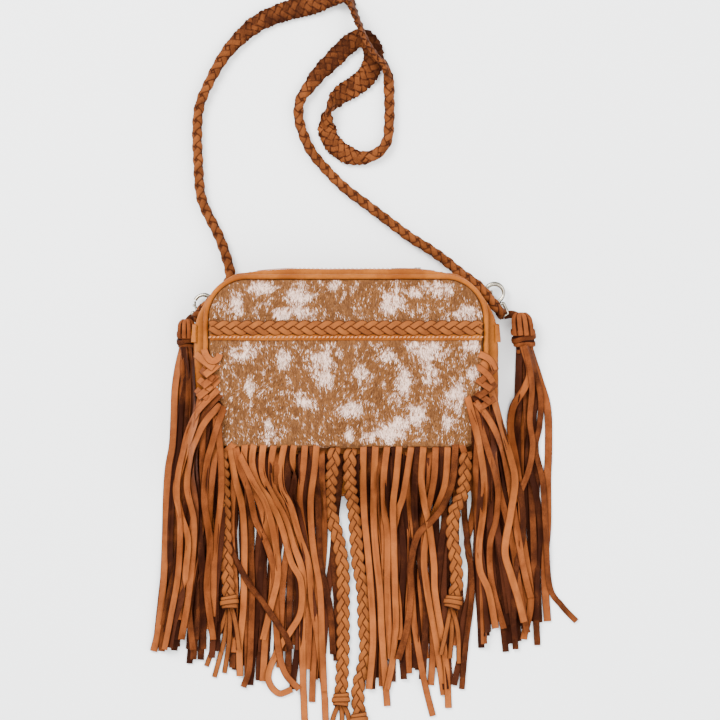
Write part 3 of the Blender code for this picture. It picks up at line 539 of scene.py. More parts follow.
class Shape:
    """Gathers strips and tubes, and makes one mesh object of them."""

    SHARP = math.radians(50)

    def __init__(self) -> None:
        """Start empty."""
        self.points: List[np.ndarray] = []
        self.faces: List[Tuple[int, ...]] = []
        self.tones: List[np.ndarray] = []
        self.surface: List[np.ndarray] = []
        self.count = 0

    def grid(self, rows: np.ndarray, tone: Union[float, np.ndarray] = 0.5,
             across: Optional[np.ndarray] = None, along: Optional[np.ndarray] = None,
             closed: bool = False, caps: bool = False, back: Optional[np.ndarray] = None) -> None:
        """Add a grid of points as a skin.

        Args:
            rows: Points in rows and columns.
            tone: One tone, or one for each point.
            across: Each column's place across.
            along: Each row's place along.
            closed: Whether the last column joins the first.
            caps: Whether both ends are filled.
            back: For each column, 1 on a strip's underside.
        """
        count, width = rows.shape[:2]
        across = np.linspace(-1, 1, width) if across is None else across
        along = np.linspace(0, 1, count) if along is None else along
        index = np.arange(count * width).reshape(count, width) + self.count
        nxt = np.roll(index, -1, axis=1) if closed else index[:, 1:]
        cur = index if closed else index[:, :-1]
        quads = np.stack([cur[:-1], nxt[:-1], nxt[1:], cur[1:]], axis=-1).reshape(-1, 4)
        self.faces += [tuple(q) for q in quads.tolist()]
        if caps:
            self.faces.append(tuple(reversed(index[0].tolist())))
            self.faces.append(tuple(index[-1].tolist()))
        self.points.append(rows.reshape(-1, 3))
        self.tones.append(np.broadcast_to(tone, (count * width,)).astype(np.float32))
        pair = np.zeros((count, width, 3), np.float32)
        pair[..., 0] = across[None, :]
        pair[..., 1] = along[:, None]
        pair[..., 2] = 0.0 if back is None else back[None, :]
        self.surface.append(pair.reshape(-1, 3))
        self.count += count * width

    def solid(self, rows: np.ndarray, tone: Union[float, np.ndarray] = 0.5,
              along: Optional[np.ndarray] = None) -> None:
        """Add a closed skin with both ends filled."""
        self.grid(rows, tone, along=along, closed=True, caps=True)

    def lace(self, rows: np.ndarray, tone: Union[float, np.ndarray], line: np.ndarray) -> None:
        """Add a lace's closed skin, which knows its face from its back."""
        self.grid(rows, tone, STRIP_ACROSS, travelled(line), closed=True, caps=True, back=STRIP_BACK)

    def build(self, name: str, material: bpy.types.Material, outward: bool = True) -> bpy.types.Object:
        """Make the object.

        Args:
            name: The piece's name.
            material: Its material.
            outward: Whether the faces are turned outwards.

        Returns:
            The object, linked to the scene.
        """
        mesh = bpy.data.meshes.new(name)
        mesh.from_pydata(np.concatenate(self.points).tolist(), [], self.faces)
        mesh.attributes.new("tone", "FLOAT", "POINT").data.foreach_set("value", np.concatenate(self.tones))
        mesh.attributes.new("surface", "FLOAT_VECTOR", "POINT").data.foreach_set(
            "vector", np.concatenate(self.surface).reshape(-1))
        if outward:
            work = bmesh.new()
            work.from_mesh(mesh)
            bmesh.ops.recalc_face_normals(work, faces=work.faces)
            work.to_mesh(mesh)
            work.free()
        mesh.shade_smooth()
        mesh.set_sharp_from_angle(angle=self.SHARP)
        mesh.materials.append(material)
        made = bpy.data.objects.new(name, mesh)
        bpy.context.scene.collection.objects.link(made)
        return made


def curve_through(points: Sequence[Sequence[float]], spacing: float) -> np.ndarray:
    """Read evenly spaced points from a smooth curve through some points.

    Args:
        points: The curve's own points, in two or three dimensions.
        spacing: The distance between the points that are read.

    Returns:
        The points, one a row.
    """
    knots = np.array(points, float)
    knots = np.vstack([2 * knots[0] - knots[1], knots, 2 * knots[-1] - knots[-2]])
    share = np.linspace(0, 1, 24, endpoint=False)[:, None]
    runs = []
    for a, b, c, d in zip(knots, knots[1:], knots[2:], knots[3:]):
        runs.append(0.5 * (2 * b + (c - a) * share + (2 * a - 5 * b + 4 * c - d) * share ** 2
                           + (3 * b - a - 3 * c + d) * share ** 3))
    dense = np.vstack(runs + [knots[-2:-1]])
    return evenly(dense, spacing)


def evenly(points: np.ndarray, spacing: float) -> np.ndarray:
    """Space points evenly along the line that they follow.

    Args:
        points: The line's points.
        spacing: The distance wanted between points.

    Returns:
        The evenly spaced points.
    """
    lengths = travelled(points)
    count = max(2, round(lengths[-1] / spacing))
    want = np.linspace(0, lengths[-1], count + 1)
    return np.stack([np.interp(want, lengths, points[:, i]) for i in range(points.shape[1])], axis=1)


def travelled(points: np.ndarray) -> np.ndarray:
    """Return the distance along a line at each of its points."""
    steps = np.linalg.norm(np.diff(points, axis=0), axis=1)
    return np.concatenate([[0.0], np.cumsum(steps)])


def unit(vectors: np.ndarray) -> np.ndarray:
    """Scale each row to length one."""
    return vectors / np.maximum(np.linalg.norm(vectors, axis=-1, keepdims=True), 1e-9)


def headings(points: np.ndarray) -> np.ndarray:
    """Return the direction of a line at each point."""
    return unit(np.gradient(points, axis=0))


def blurred(values: np.ndarray, reach: int) -> np.ndarray:
    """Average each row with its neighbours on both sides.

    Args:
        values: The rows.
        reach: How many neighbours count on each side.

    Returns:
        The averaged rows.
    """
    padded = np.concatenate([np.repeat(values[:1], reach, 0), values, np.repeat(values[-1:], reach, 0)])
    total = np.zeros_like(values)
    for step in range(2 * reach + 1):
        total = total + padded[step:step + len(values)]
    return total / (2 * reach + 1)


def highest(values: np.ndarray, reach: int) -> np.ndarray:
    """Find the highest value among each row and its neighbours.

    Args:
        values: The rows.
        reach: How many neighbours count on each side.

    Returns:
        The highest values.
    """
    padded = np.concatenate([np.repeat(values[:1], reach, 0), values, np.repeat(values[-1:], reach, 0)])
    best = padded[:len(values)]
    for step in range(1, 2 * reach + 1):
        best = np.maximum(best, padded[step:step + len(values)])
    return best


def sweep(path: np.ndarray, side: np.ndarray, up: np.ndarray, profile: np.ndarray,
          widths: Union[float, np.ndarray], heights: Union[float, np.ndarray]) -> np.ndarray:
    """Carry a profile along a path.

    Args:
        path: The path's points.
        side: The direction of the profile's width at each point.
        up: The direction of its height at each point.
        profile: Its points as shares of half its width and half its height.
        widths: Its half width, one or one for each point.
        heights: Its half height.

    Returns:
        A grid of points, one ring a row.
    """
    wide = np.broadcast_to(widths, (len(path),))[:, None, None]
    tall = np.broadcast_to(heights, (len(path),))[:, None, None]
    return (path[:, None, :] + side[:, None, :] * profile[None, :, :1] * wide
            + up[:, None, :] * profile[None, :, 1:] * tall)


def round_profile(count: int) -> np.ndarray:
    """Return a circle of points."""
    angle = np.linspace(0, 2 * math.pi, count, endpoint=False)
    return np.stack([np.cos(angle), np.sin(angle)], axis=1)


def rows_of(direction: Point, count: int) -> np.ndarray:
    """Return one direction as many rows."""
    return np.tile(np.array(direction, float), (count, 1))


def across_floor(points: np.ndarray) -> np.ndarray:
    """Return the direction across a line on the floor at each of its points."""
    ahead = headings(points)
    return np.stack([ahead[:, 1], -ahead[:, 0]], axis=1)


def above_floor(rows: np.ndarray) -> np.ndarray:
    """Raise what would sink into the floor."""
    rows[..., 2] = np.maximum(rows[..., 2], FLOOR_GAP)
    return rows


# A strip's cross-section, then for each of its points the place across and how much is back
STRIP_PROFILE = np.array([(-1, 0), (-0.90, 0.8), (-0.5, 1.0), (0, 1.05), (0.5, 1.0), (0.90, 0.8),
                          (1, 0), (0.90, -0.85), (0, -1.0), (-0.90, -0.85)], float)
STRIP_ACROSS = np.array([-1, -0.9, -0.5, 0, 0.5, 0.9, 1, 0.9, 0, -0.9])
STRIP_BACK = np.array([0.4, 0, 0, 0, 0, 0, 0.4, 1, 1, 1])


# What has been laid so far

class Ground:
    """The height of all that lies on the floor, on a fine grid, so that strips rest on each other."""

    CELL = 0.001
    LOW = np.array([-0.240, -0.420])
    COUNT = (500, 820)
    DROP_FROM = 0.2
    COARSE = 2

    def __init__(self, solids: Sequence[bpy.types.Object]):
        """Start from the floor and some solids.

        Args:
            solids: The mesh objects that strips rest on.
        """
        self.height = np.zeros(self.COUNT)
        points, faces = [], []
        for solid in solids:
            start = len(points)
            points += [v.co for v in solid.data.vertices]
            faces += [[start + i for i in p.vertices] for p in solid.data.polygons]
        tree = BVHTree.FromPolygons(points, faces)
        spots = np.array([(p[0], p[1]) for p in points])
        low, high = self.cell(spots.min(0)[None])[0], self.cell(spots.max(0)[None])[0]
        down = Vector((0, 0, -1))
        for i in range(max(0, low[0]), min(self.COUNT[0], high[0] + 1), self.COARSE):
            for j in range(max(0, low[1]), min(self.COUNT[1], high[1] + 1), self.COARSE):
                x, y = self.LOW + np.array([i, j]) * self.CELL
                hit = tree.ray_cast(Vector((x, y, self.DROP_FROM)), down)
                if hit[0] is not None:
                    self.height[i:i + self.COARSE, j:j + self.COARSE] = hit[0].z

    def cell(self, places: np.ndarray) -> np.ndarray:
        """Return the grid cell of each place."""
        found = np.round((places[..., :2] - self.LOW) / self.CELL).astype(int)
        return np.clip(found, 0, np.array(self.COUNT) - 1)

    def under(self, places: np.ndarray) -> np.ndarray:
        """Return the height at each place."""
        at = self.cell(places)
        return self.height[at[..., 0], at[..., 1]]

    def cover(self, places: np.ndarray, tops: np.ndarray) -> None:
        """Raise the ground to what now lies at some places."""
        at = self.cell(places)
        np.maximum.at(self.height, (at[..., 0].ravel(), at[..., 1].ravel()), tops.ravel())


@dataclass(frozen=True)
class Strip:
    """A cut leather strip: its route over the floor, its width, tone and turns."""

    route: Tuple[Pixel, ...]
    width: float = 0.0068
    tone: float = 0.6
    turns: Tuple[Tuple[float, float], ...] = ()
    thickness: float = 0.0017
    starts_in: bool = True
    taper: float = 0.0


@dataclass
class StripLayer:
    """Lays strips on the ground one after another and gathers them in shapes."""

    ground: Ground
    row: float = 0.0022
    stiff_rows: int = 2
    soft_rows: int = 3
    give: float = 0.45
    most_slack: float = 0.0026
    slack_share: float = 0.58
    plunge: float = 0.0045
    plunge_rows: float = 3.0
    turn_length: float = 0.012
    tone_scatter: float = 0.05
    seed: int = 7

    LANES = np.linspace(-1, 1, 9)

    def __post_init__(self) -> None:
        """Make a seeded source of chance."""
        self.random = random.Random(self.seed)

    def bed(self, spots: np.ndarray) -> np.ndarray:
        """Work out how a strip rests, as a plane that gives a little to what lies below.

        Args:
            spots: The places under the strip, row by row.

        Returns:
            The height of its underside at each place.
        """
        rest = highest(self.ground.under(spots), self.stiff_rows)
        rest = blurred(blurred(rest, self.soft_rows), self.soft_rows)
        plane = rest.mean(1, keepdims=True)
        lean = (rest * self.LANES).sum(1, keepdims=True) / (self.LANES ** 2).sum()
        level = plane + lean * self.LANES
        slack = np.clip((rest - level).max(1, keepdims=True), 0, self.most_slack)
        return level + slack * self.slack_share + (rest - level) * self.give

    def lay(self, shape: Shape, strip: Strip) -> None:
        """Lay one strip.

        Args:
            shape: The shape that takes the strip.
            strip: The strip, with its route in pixels of the photograph.
        """
        flat = curve_through([from_photo(p) for p in strip.route], self.row)
        side = across_floor(flat)
        length = travelled(flat)
        count = len(flat)
        share = length / length[-1]
        turn = np.zeros(count)
        for at, size in strip.turns:
            turn += size * math.pi * (0.5 + 0.5 * np.tanh((share - at) * length[-1] / self.turn_length))
        width = strip.width * (1 - strip.taper * share) * np.ones(count)
        half = width / 2 * (np.abs(np.cos(turn)) * 0.85 + 0.15)
        spots = flat[:, None, :] + side[:, None, :] * (self.LANES[None, :, None] * half[:, None, None])
        lanes = self.bed(spots)
        if strip.starts_in:
            rows = np.arange(count)[:, None]
            lanes = lanes - self.plunge * np.clip(1 - rows / self.plunge_rows, 0, 1) ** 2
        curl = (0.0003 + 0.0004 * self.random.random()) * np.abs(np.cos(turn))
        lanes = lanes + curl[:, None] * self.LANES[None, :] ** 2
        lanes = np.maximum(lanes, FLOOR_GAP)
        up_lift = np.abs(np.sin(turn)) * width / 2 * 0.8
        grown = strip.thickness / 2
        across = STRIP_PROFILE[None, :, 0] * width[:, None] / 2
        tall = STRIP_PROFILE[None, :, 1] * grown
        out = across * np.cos(turn)[:, None] - tall * np.sin(turn)[:, None]
        rise = across * np.sin(turn)[:, None] + tall * np.cos(turn)[:, None]
        lane_z = np.stack([np.interp(np.clip(o / np.maximum(h, 1e-6), -1, 1), self.LANES, z)
                           for o, h, z in zip(out, half, lanes)])
        rows = np.empty((count, len(STRIP_PROFILE), 3))
        rows[..., :2] = flat[:, None, :] + side[:, None, :] * out[..., None]
        rows[..., 2] = lane_z + grown * 1.05 + up_lift[:, None] + rise
        tone = strip.tone + self.random.uniform(-self.tone_scatter, self.tone_scatter)
        shape.lace(rows, tone, flat)
        self.ground.cover(spots, lanes + strip.thickness + up_lift[:, None])


# The bag's body

@dataclass(frozen=True)
class Outline:
    """The bag's outline at one height: its sides, corners and how far the upper corners draw in."""

    z: float
    half: float
    top: float
    bottom: float
    corner_x: float
    corner_y: float
    low_corner: float
    draw: float
    droop: float = 0.0

    STEPS = (26, 34, 22, 18, 24)
    DROOP_FROM = 0.050

    def blend(self, other: "Outline", share: float) -> "Outline":
        """Return the outline between this and another."""
        mine, its = list(self.__dict__.values()), list(other.__dict__.values())
        return Outline(*[m + (o - m) * share for m, o in zip(mine, its)])

    def grown(self, by: float) -> "Outline":
        """Return this outline moved outwards by one distance all round."""
        return Outline(self.z, self.half + by, self.top + by, self.bottom - by, self.corner_x + by,
                       self.corner_y + by, self.low_corner + by, self.draw, self.droop)

    def half_ring(self) -> np.ndarray:
        """Work out the right half, from the top middle to the bottom middle.

        Returns:
            Its points in X, Y and Z.
        """
        top, corner, side, low, bottom = self.STEPS
        straight, low_x = self.half - self.corner_x, self.half - self.low_corner
        centre_y, low_y = self.top - self.corner_y, self.bottom + self.low_corner
        angle = math.pi / 2 * (1 - np.arange(corner) / corner)
        pull = 1 - self.draw * np.sin(2 * angle) ** 2
        turn = math.pi / 2 * np.arange(low) / low
        x = [straight * np.arange(top) / top, straight + self.corner_x * pull * np.cos(angle),
             np.full(side, self.half), low_x + self.low_corner * np.cos(turn),
             low_x * (1 - np.arange(bottom + 1) / bottom)]
        sunk = np.clip((x[0] - self.DROOP_FROM) / max(straight - self.DROOP_FROM, 0.01), 0, 1)
        y = [self.top - self.droop * sunk ** 2,
             centre_y + (self.corner_y * pull - self.droop) * np.sin(angle),
             centre_y + (low_y - centre_y) * np.arange(side) / side, low_y - self.low_corner * np.sin(turn),
             np.full(bottom + 1, self.bottom)]
        x, y = np.concatenate(x), np.concatenate(y)
        return np.stack([x, y, np.full(len(x), self.z)], axis=1)

    def ring(self) -> np.ndarray:
        """Return the whole outline, clockwise from the top middle."""
        right = self.half_ring()
        left = right[-2:0:-1] * np.array([-1, 1, 1])
        return np.vstack([right, left])

    def half_width(self, y: float) -> float:
        """Work out the half width at a height, with round corners.

        Args:
            y: The height.

        Returns:
            The half width there.
        """
        if y > self.top - self.corner_y:
            rise = min(1.0, (y - self.top + self.corner_y) / self.corner_y)
            return self.half - self.corner_x + self.corner_x * math.sqrt(1 - rise * rise)
        if y < self.bottom + self.low_corner:
            drop = min(1.0, (self.bottom + self.low_corner - y) / self.low_corner)
            return self.half - self.low_corner + self.low_corner * math.sqrt(1 - drop * drop)
        return self.half


# How far the padded front rises in its middle
DOME = 0.0040

FRONT = Outline(0.0403, 0.1315, 0.0800, -0.0815, 0.037, 0.037, 0.022, 0.0)
WALL = (Outline(0.0400, 0.1312, 0.0797, -0.0812, 0.037, 0.037, 0.022, 0.0),
        Outline(0.0345, 0.1450, 0.0905, -0.0965, 0.045, 0.060, 0.030, 0.06, 0.0040),
        Outline(0.0220, 0.1470, 0.0917, -0.1120, 0.062, 0.078, 0.034, 0.19, 0.0045),
        Outline(0.0105, 0.1440, 0.0895, -0.1230, 0.060, 0.084, 0.036, 0.25, 0.0030),
        Outline(0.0034, 0.1370, 0.0830, -0.1290, 0.053, 0.084, 0.036, 0.26))


def wall_at(z: float) -> Outline:
    """Blend the wall's outline at one height off the floor.

    Args:
        z: The height.

    Returns:
        The outline there.
    """
    for upper, lower in zip(WALL, WALL[1:]):
        if z >= lower.z:
            return upper.blend(lower, (upper.z - z) / (upper.z - lower.z))
    return WALL[-1]


def dome(x: np.ndarray, y: np.ndarray) -> np.ndarray:
    """Return how far the padded front stands above its edge."""
    across = np.clip(1 - (x / FRONT.half) ** 2, 0, 1)
    along = np.clip(1 - (y / FRONT.top) ** 2, 0, 1)
    return DOME * np.sqrt(across * along)


def ripple(x: float, y: float, scale: float, size: float) -> float:
    """Return a soft unevenness of the leather."""
    return size * noise.noise(Vector((x * scale, y * scale, 3.7)))


@dataclass(frozen=True)
class Seam:
    """A row of slanted or straight stitches."""

    pitch: float = 0.0042
    length: float = 0.0026
    radius: float = 0.00036
    slant: float = 0.0

    SIDES = 6

    def sew(self, shape: Shape, path: np.ndarray, normal: np.ndarray) -> None:
        """Sew along a path.

        Args:
            shape: The shape that takes the stitches.
            path: The seam's points on the surface.
            normal: The surface's outward direction at each.
        """
        spots = evenly(np.hstack([path, normal]), self.pitch)
        ways = headings(spots[:, :3])
        sides = unit(np.cross(spots[:, 3:], ways))
        for spot, way, aside in zip(spots, ways, sides):
            up = spot[3:] / max(np.linalg.norm(spot[3:]), 1e-9)
            run = way * math.cos(self.slant) + aside * math.sin(self.slant)
            share = np.linspace(-1, 1, 5)
            line = (spot[:3] + run * (share[:, None] * self.length / 2)
                    + up * (self.radius * (1.1 - 1.5 * share[:, None] ** 4)))
            girth = self.radius * (1 - 0.45 * share ** 4)
            across = unit(np.cross(np.broadcast_to(up, line.shape), np.broadcast_to(run, line.shape)))
            rows = sweep(line, across, np.broadcast_to(up, line.shape), round_profile(self.SIDES),
                         girth, girth)
            shape.solid(rows, 0.7, travelled(line))


@dataclass
class Body:
    """The bag itself: hide front, leather walls, back, piping, pocket trim and zip."""

    palette: Palette
    thick: float = 0.0016
    under: float = 0.0002
    zip_half: float = 0.085
    mouth: float = 0.0150
    zip_z: float = 0.0220
    tape_ends: float = 0.0120
    tooth_pitch: float = 0.0026
    heights: int = 28
    hide_thick: float = 0.0020
    pocket_thick: float = 0.0018
    pocket_top: float = 0.0400
    pocket_in: float = 0.0015
    gap: float = 0.0009
    fill: float = 0.35
    band: Tuple[float, float] = (0.0217, 0.0277)
    braid_y: float = 0.03365
    piping: float = 0.0024

    def __post_init__(self) -> None:
        """Work out how high the pocket and its trim lie."""
        self.pocket_base = FRONT.z + self.hide_thick + self.gap
        self.trim_base = self.pocket_base + self.pocket_thick + self.gap

    def slab(self, shape: Shape, outer: np.ndarray, normal: np.ndarray, thick: float) -> None:
        """Add a closed piece of leather from its outer surface, with rolled edges and painted shade along
        its first columns.

        Args:
            shape: The shape that takes it.
            outer: The outer surface.
            normal: Its outward directions.
            thick: The leather's thickness.
        """
        share = np.linspace(0, 1, outer.shape[1])
        # Painted shade: the tone is raised along the first columns, which darkens the leather in the seam
        # under the piping and at the zip's mouth
        tone = 0.5 + 0.5 * np.clip(1 - np.arange(outer.shape[1]) / 4.5, 0, 1)
        edge = np.clip(np.minimum(share, 1 - share) * outer.shape[1] / 2.2, 0, 1) ** 0.5
        top = outer - normal * (thick * 0.35 * (1 - edge))[None, :, None]
        low = outer - normal * (thick * (0.65 + 0.35 * edge))[None, :, None]
        rows = np.concatenate([top, low[:, ::-1]], axis=1)
        shape.solid(rows, np.tile(np.concatenate([tone, tone[::-1]]), len(rows)))

    def wall_grid(self, high: float, low: float, count: int) -> Tuple[np.ndarray, np.ndarray]:
        """Work out part of the wall, ring by ring.

        Args:
            high: The first ring's height.
            low: The last ring's height.
            count: How many rings there are.

        Returns:
            The points and their outward directions.
        """
        rings = np.stack([wall_at(z).ring() for z in np.linspace(high, low, count)])
        rings[1:-1] = blurred(rings, 1)[1:-1]
        around = np.roll(rings, -1, axis=1) - np.roll(rings, 1, axis=1)
        normal = unit(np.cross(np.gradient(rings, axis=0), around))
        if normal[0, 0, 1] < 0:
            normal = -normal
        sag = np.array([[noise.noise(Vector(p * 34)) * 0.0007 + noise.noise(Vector(p * 90)) * 0.0003
                         for p in ring] for ring in rings])
        fade = np.sin(np.linspace(0, math.pi, count))[:, None]
        return rings + normal * (sag * fade)[..., None], normal

    def build_walls(self) -> None:
        """Build the gusset and both panels beside the zip."""
        rings, normal = self.wall_grid(WALL[0].z, WALL[-1].z, self.heights)
        x = rings[0, :, 0]
        over = (np.abs(rings[self.heights // 2, :, 0]) < self.zip_half) & (rings[0, :, 1] > 0)
        first = int(np.argmax(~over))
        last = len(x) - int(np.argmax(~over[::-1]))
        shape, thread = Shape(), Shape()
        part, out = rings[:, first:last].transpose(1, 0, 2), normal[:, first:last].transpose(1, 0, 2)
        self.slab(shape, part, out, self.thick)
        gusset = shape.build("gusset_leather", self.palette[CARAMEL])
        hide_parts("gusset")
        Seam().sew(thread, part[:, self.heights - 3], out[:, self.heights - 3])
        near = np.r_[last - len(x) - 1:first + 1]
        for name, high, low in (("front", WALL[0].z, self.zip_z + self.mouth / 2),
                                ("back", self.zip_z - self.mouth / 2, WALL[-1].z)):
            rings, normal = self.wall_grid(high, low, 10)
            shape = Shape()
            part, out = rings[:, near].transpose(1, 0, 2), normal[:, near].transpose(1, 0, 2)
            self.slab(shape, part - out * self.under, out, self.thick)
            panel = shape.build("zip_side_" + name, self.palette[CARAMEL])
            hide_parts("zip_panel_" + name)
            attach(panel, "bag")
            column = -2 if name == "front" else 2
            Seam(radius=0.0003).sew(thread, part[3:-3, column], out[3:-3, column])
        stitches = thread.build("wall_stitches", self.palette[THREAD])
        for piece in (gusset, stitches):
            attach(piece, "bag")

    def build_back(self) -> None:
        """Build the back panel with its rolled edge and stitched border."""
        shape, thread = Shape(), Shape()
        shares = [(0.0, 0.0020), (0.35, 0.0020), (0.7, 0.0020), (0.93, 0.0020), (0.985, 0.0019),
                  (1.0, 0.0013), (1.0, 0.0007), (0.985, 0.0001), (0.93, 0.0), (0.7, 0.0), (0.35, 0.0),
                  (0.0, 0.0)]
        ring = WALL[-1].ring()
        centre = np.array([0, (WALL[-1].top + WALL[-1].bottom) / 2, 0])
        rows = []
        for share, z in shares:
            row = centre + (ring - centre) * max(share, 0.002)
            row[:, 2] = z
            rows.append(row)
        shape.solid(np.stack(rows))
        back = shape.build("back_leather", self.palette[BACK_LEATHER])
        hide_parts("back_panel")
        inner = WALL[-1].grown(-0.0045).ring()
        inner[:, 2] = 0.0001
        Seam(radius=0.0003).sew(thread, inner, rows_of((0.0, 0.0, -1.0), len(inner)))
        stitches = thread.build("back_stitches", self.palette[THREAD])
        stitches.location.z = 0.0002
        for piece in (back, stitches):
            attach(piece, "bag")

    def panel_rows(self, level: Outline, low: float, high: float, base: float, thick: float,
                   count: int, columns: int) -> np.ndarray:
        """Work out a domed panel as closed rows: its face, then its underside.

        Args:
            level: The panel's outline.
            low: Its lowest Y.
            high: Its highest Y.
            base: Its height at the edge.
            thick: Its thickness.
            count: How many rows it has, less one.
            columns: How many columns, less one.

        Returns:
            The rows of points.
        """
        rows = []
        for r in range(count + 1):
            y = low + (high - low) * (0.5 - 0.5 * math.cos(math.pi * r / count))
            half = level.half_width(min(max(y, level.bottom + 1e-5), level.top - 1e-5))
            share = np.sin(np.linspace(-math.pi / 2, math.pi / 2, columns + 1))
            x = half * share
            soft = np.array([ripple(a, y, 26, 0.0007) + ripple(a, y, 60, 0.0003) for a in x])
            gap = np.minimum.reduce([half - np.abs(x), np.full_like(x, y - low), np.full_like(x, high - y)])
            rim = np.clip(gap / 0.0022, 0, 1) ** 0.5
            face = base + dome(x, np.full_like(x, y)) + thick * (0.35 + 0.65 * rim) + soft * rim
            under = np.full_like(x, base) + dome(x, np.full_like(x, y)) * 0.9
            top = np.stack([x, np.full_like(x, y), face], axis=1)
            bottom = np.stack([x, np.full_like(x, y), under], axis=1)
            rows.append(np.vstack([top, bottom[::-1]]))
        return np.stack(rows)

    def build_hide(self) -> None:
        """Build the hide front and pocket, and the hair that lies on them."""
        coat = Coat(self.palette)
        inner = FRONT.grown(-self.pocket_in)
        for name, level, low, high, base, thick, seen in (
                ("front_panel", FRONT, FRONT.bottom, FRONT.top, FRONT.z, self.hide_thick,
                 self.pocket_top - 0.004),
                ("pocket_panel", inner, inner.bottom, self.pocket_top, self.pocket_base,
                 self.pocket_thick, inner.bottom)):
            hair_top = high if name == "front_panel" else self.band[0]
            rows = self.panel_rows(level, low, high, base, thick, 90, 110)
            shape = Shape()
            white = np.array([coat.whiteness(p[0], p[1]) for p in rows.reshape(-1, 3)])
            shape.solid(rows, white)
            panel = shape.build(name.replace("panel", "hide"), self.palette[HIDE])
            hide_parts(name)
            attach(panel, "bag")
            coat.grow(name.replace("panel", "hair"), level, seen, hair_top, base + thick)

    def build_piping(self) -> None:
        """Build the piping round the front's top and upper sides."""
        level = replace(FRONT.grown(0.0027), z=0.0425)
        half = level.half_ring()
        half = half[half[:, 1] > -0.0116]
        route = evenly(np.vstack([half[:0:-1] * np.array([-1, 1, 1]), half]), 0.0016)
        wobble = np.array([ripple(p[0], p[1], 120, 0.00016) for p in route])
        up = rows_of(UP, len(route))
        side = unit(np.cross(headings(route), up))
        shape = Shape()
        girth = self.piping + wobble
        shape.solid(sweep(route, side, up, round_profile(12), girth, girth), 0.6, travelled(route))
        piping = shape.build("piping_leather", self.palette[CARAMEL])
        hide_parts("piping")
        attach(piping, "bag")

    def build_trim(self) -> None:
        """Build the stitched band and the plaited strip along the pocket's top."""
        half = FRONT.half - self.pocket_in
        x = np.linspace(-half, half, 180)
        shape, thread = Shape(), Shape()
        low, high = self.band
        shares = np.linspace(0, 1, 7)
        rows = []
        for a in x:
            y = low + (high - low) * shares
            face = self.trim_base + dome(np.full_like(y, a), y) + 0.0012 * np.sin(math.pi * shares) ** 0.5
            under = self.trim_base + dome(np.full_like(y, a), y) - 0.0004
            rows.append(np.vstack([np.stack([np.full_like(y, a), y, face], 1),
                                   np.stack([np.full_like(y, a), y, under], 1)[::-1]]))
        shape.solid(np.stack(rows))
        band = shape.build("band_leather", self.palette[CARAMEL])
        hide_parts("pocket_band")
        middle = np.full_like(x, (low + high) / 2)
        line = np.stack([x, middle, self.trim_base + 0.0011 + dome(x, middle)], axis=1)
        Seam(0.0039, 0.0031, 0.0008, math.radians(24)).sew(thread, line, rows_of(UP, len(x)))
        stitches = thread.build("band_stitches", self.palette[THREAD])
        for piece in (band, stitches):
            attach(piece, "bag")
        y = np.full_like(x, self.braid_y)
        line = evenly(np.stack([x, y, self.trim_base + 0.0021 + dome(x, y)], axis=1), 0.0012)
        up = rows_of(UP, len(line))
        side = unit(np.cross(headings(line), up))
        shape = Shape()
        Plait(3, 0.0036, 0.0012, 0.0330, 0.0068, 0.0015).weave(shape, line, side, up, 0.60)
        braid = shape.build("pocket_plait", self.palette[BRAID])
        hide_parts("pocket_braid")
        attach(braid, "bag")

    def build_zip(self) -> None:
        """Build the zip's tapes and teeth."""
        y = WALL[2].top - self.thick - 0.0028
        for name, way in (("front", 1), ("back", -1)):
            low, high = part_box("zip_tape_" + name)
            x = np.linspace(low.x - self.tape_ends, high.x + self.tape_ends, 136)
            tape, shares = Shape(), np.linspace(0, 1, 5)
            edge, far = self.zip_z + way * 0.0006, self.zip_z + way * (self.mouth / 2 + 0.0014)
            rows = []
            for a in x:
                z = edge + (far - edge) * shares
                front = np.stack([np.full(5, a), np.full(5, y + 0.0004), z], 1)
                rows.append(np.vstack([front, (front - np.array([0, 0.0008, 0]))[::-1]]))
            tape.solid(np.stack(rows))
            cloth = tape.build("zip_cloth_" + name, self.palette[ZIP_CLOTH])
            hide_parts("zip_tape_" + name)
            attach(cloth, "bag")
            teeth = Shape()
            for a in np.arange(low.x + 0.002, high.x - 0.002, self.tooth_pitch):
                a = a + (self.tooth_pitch / 2 if way > 0 else 0.0)
                share = np.linspace(0, 1, 4)
                line = np.stack([np.full(4, a), np.full(4, y + 0.0006),
                                 self.zip_z + way * (0.0026 - 0.0030 * share)], axis=1)
                sides, ups = rows_of((1.0, 0.0, 0.0), 4), rows_of((0.0, 1.0, 0.0), 4)
                wide = np.array([0.0009, 0.0007, 0.0006, 0.0009])
                teeth.solid(sweep(line, sides, ups, round_profile(8), wide, 0.0007))
            metal = teeth.build("zip_teeth_" + name, self.palette[NICKEL])
            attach(metal, "bag")

    def build(self) -> None:
        """Build the whole body."""
        self.build_walls()
        self.build_back()
        self.build_hide()
        self.build_piping()
        self.build_trim()
        self.build_zip()
        LOG.info("body built")


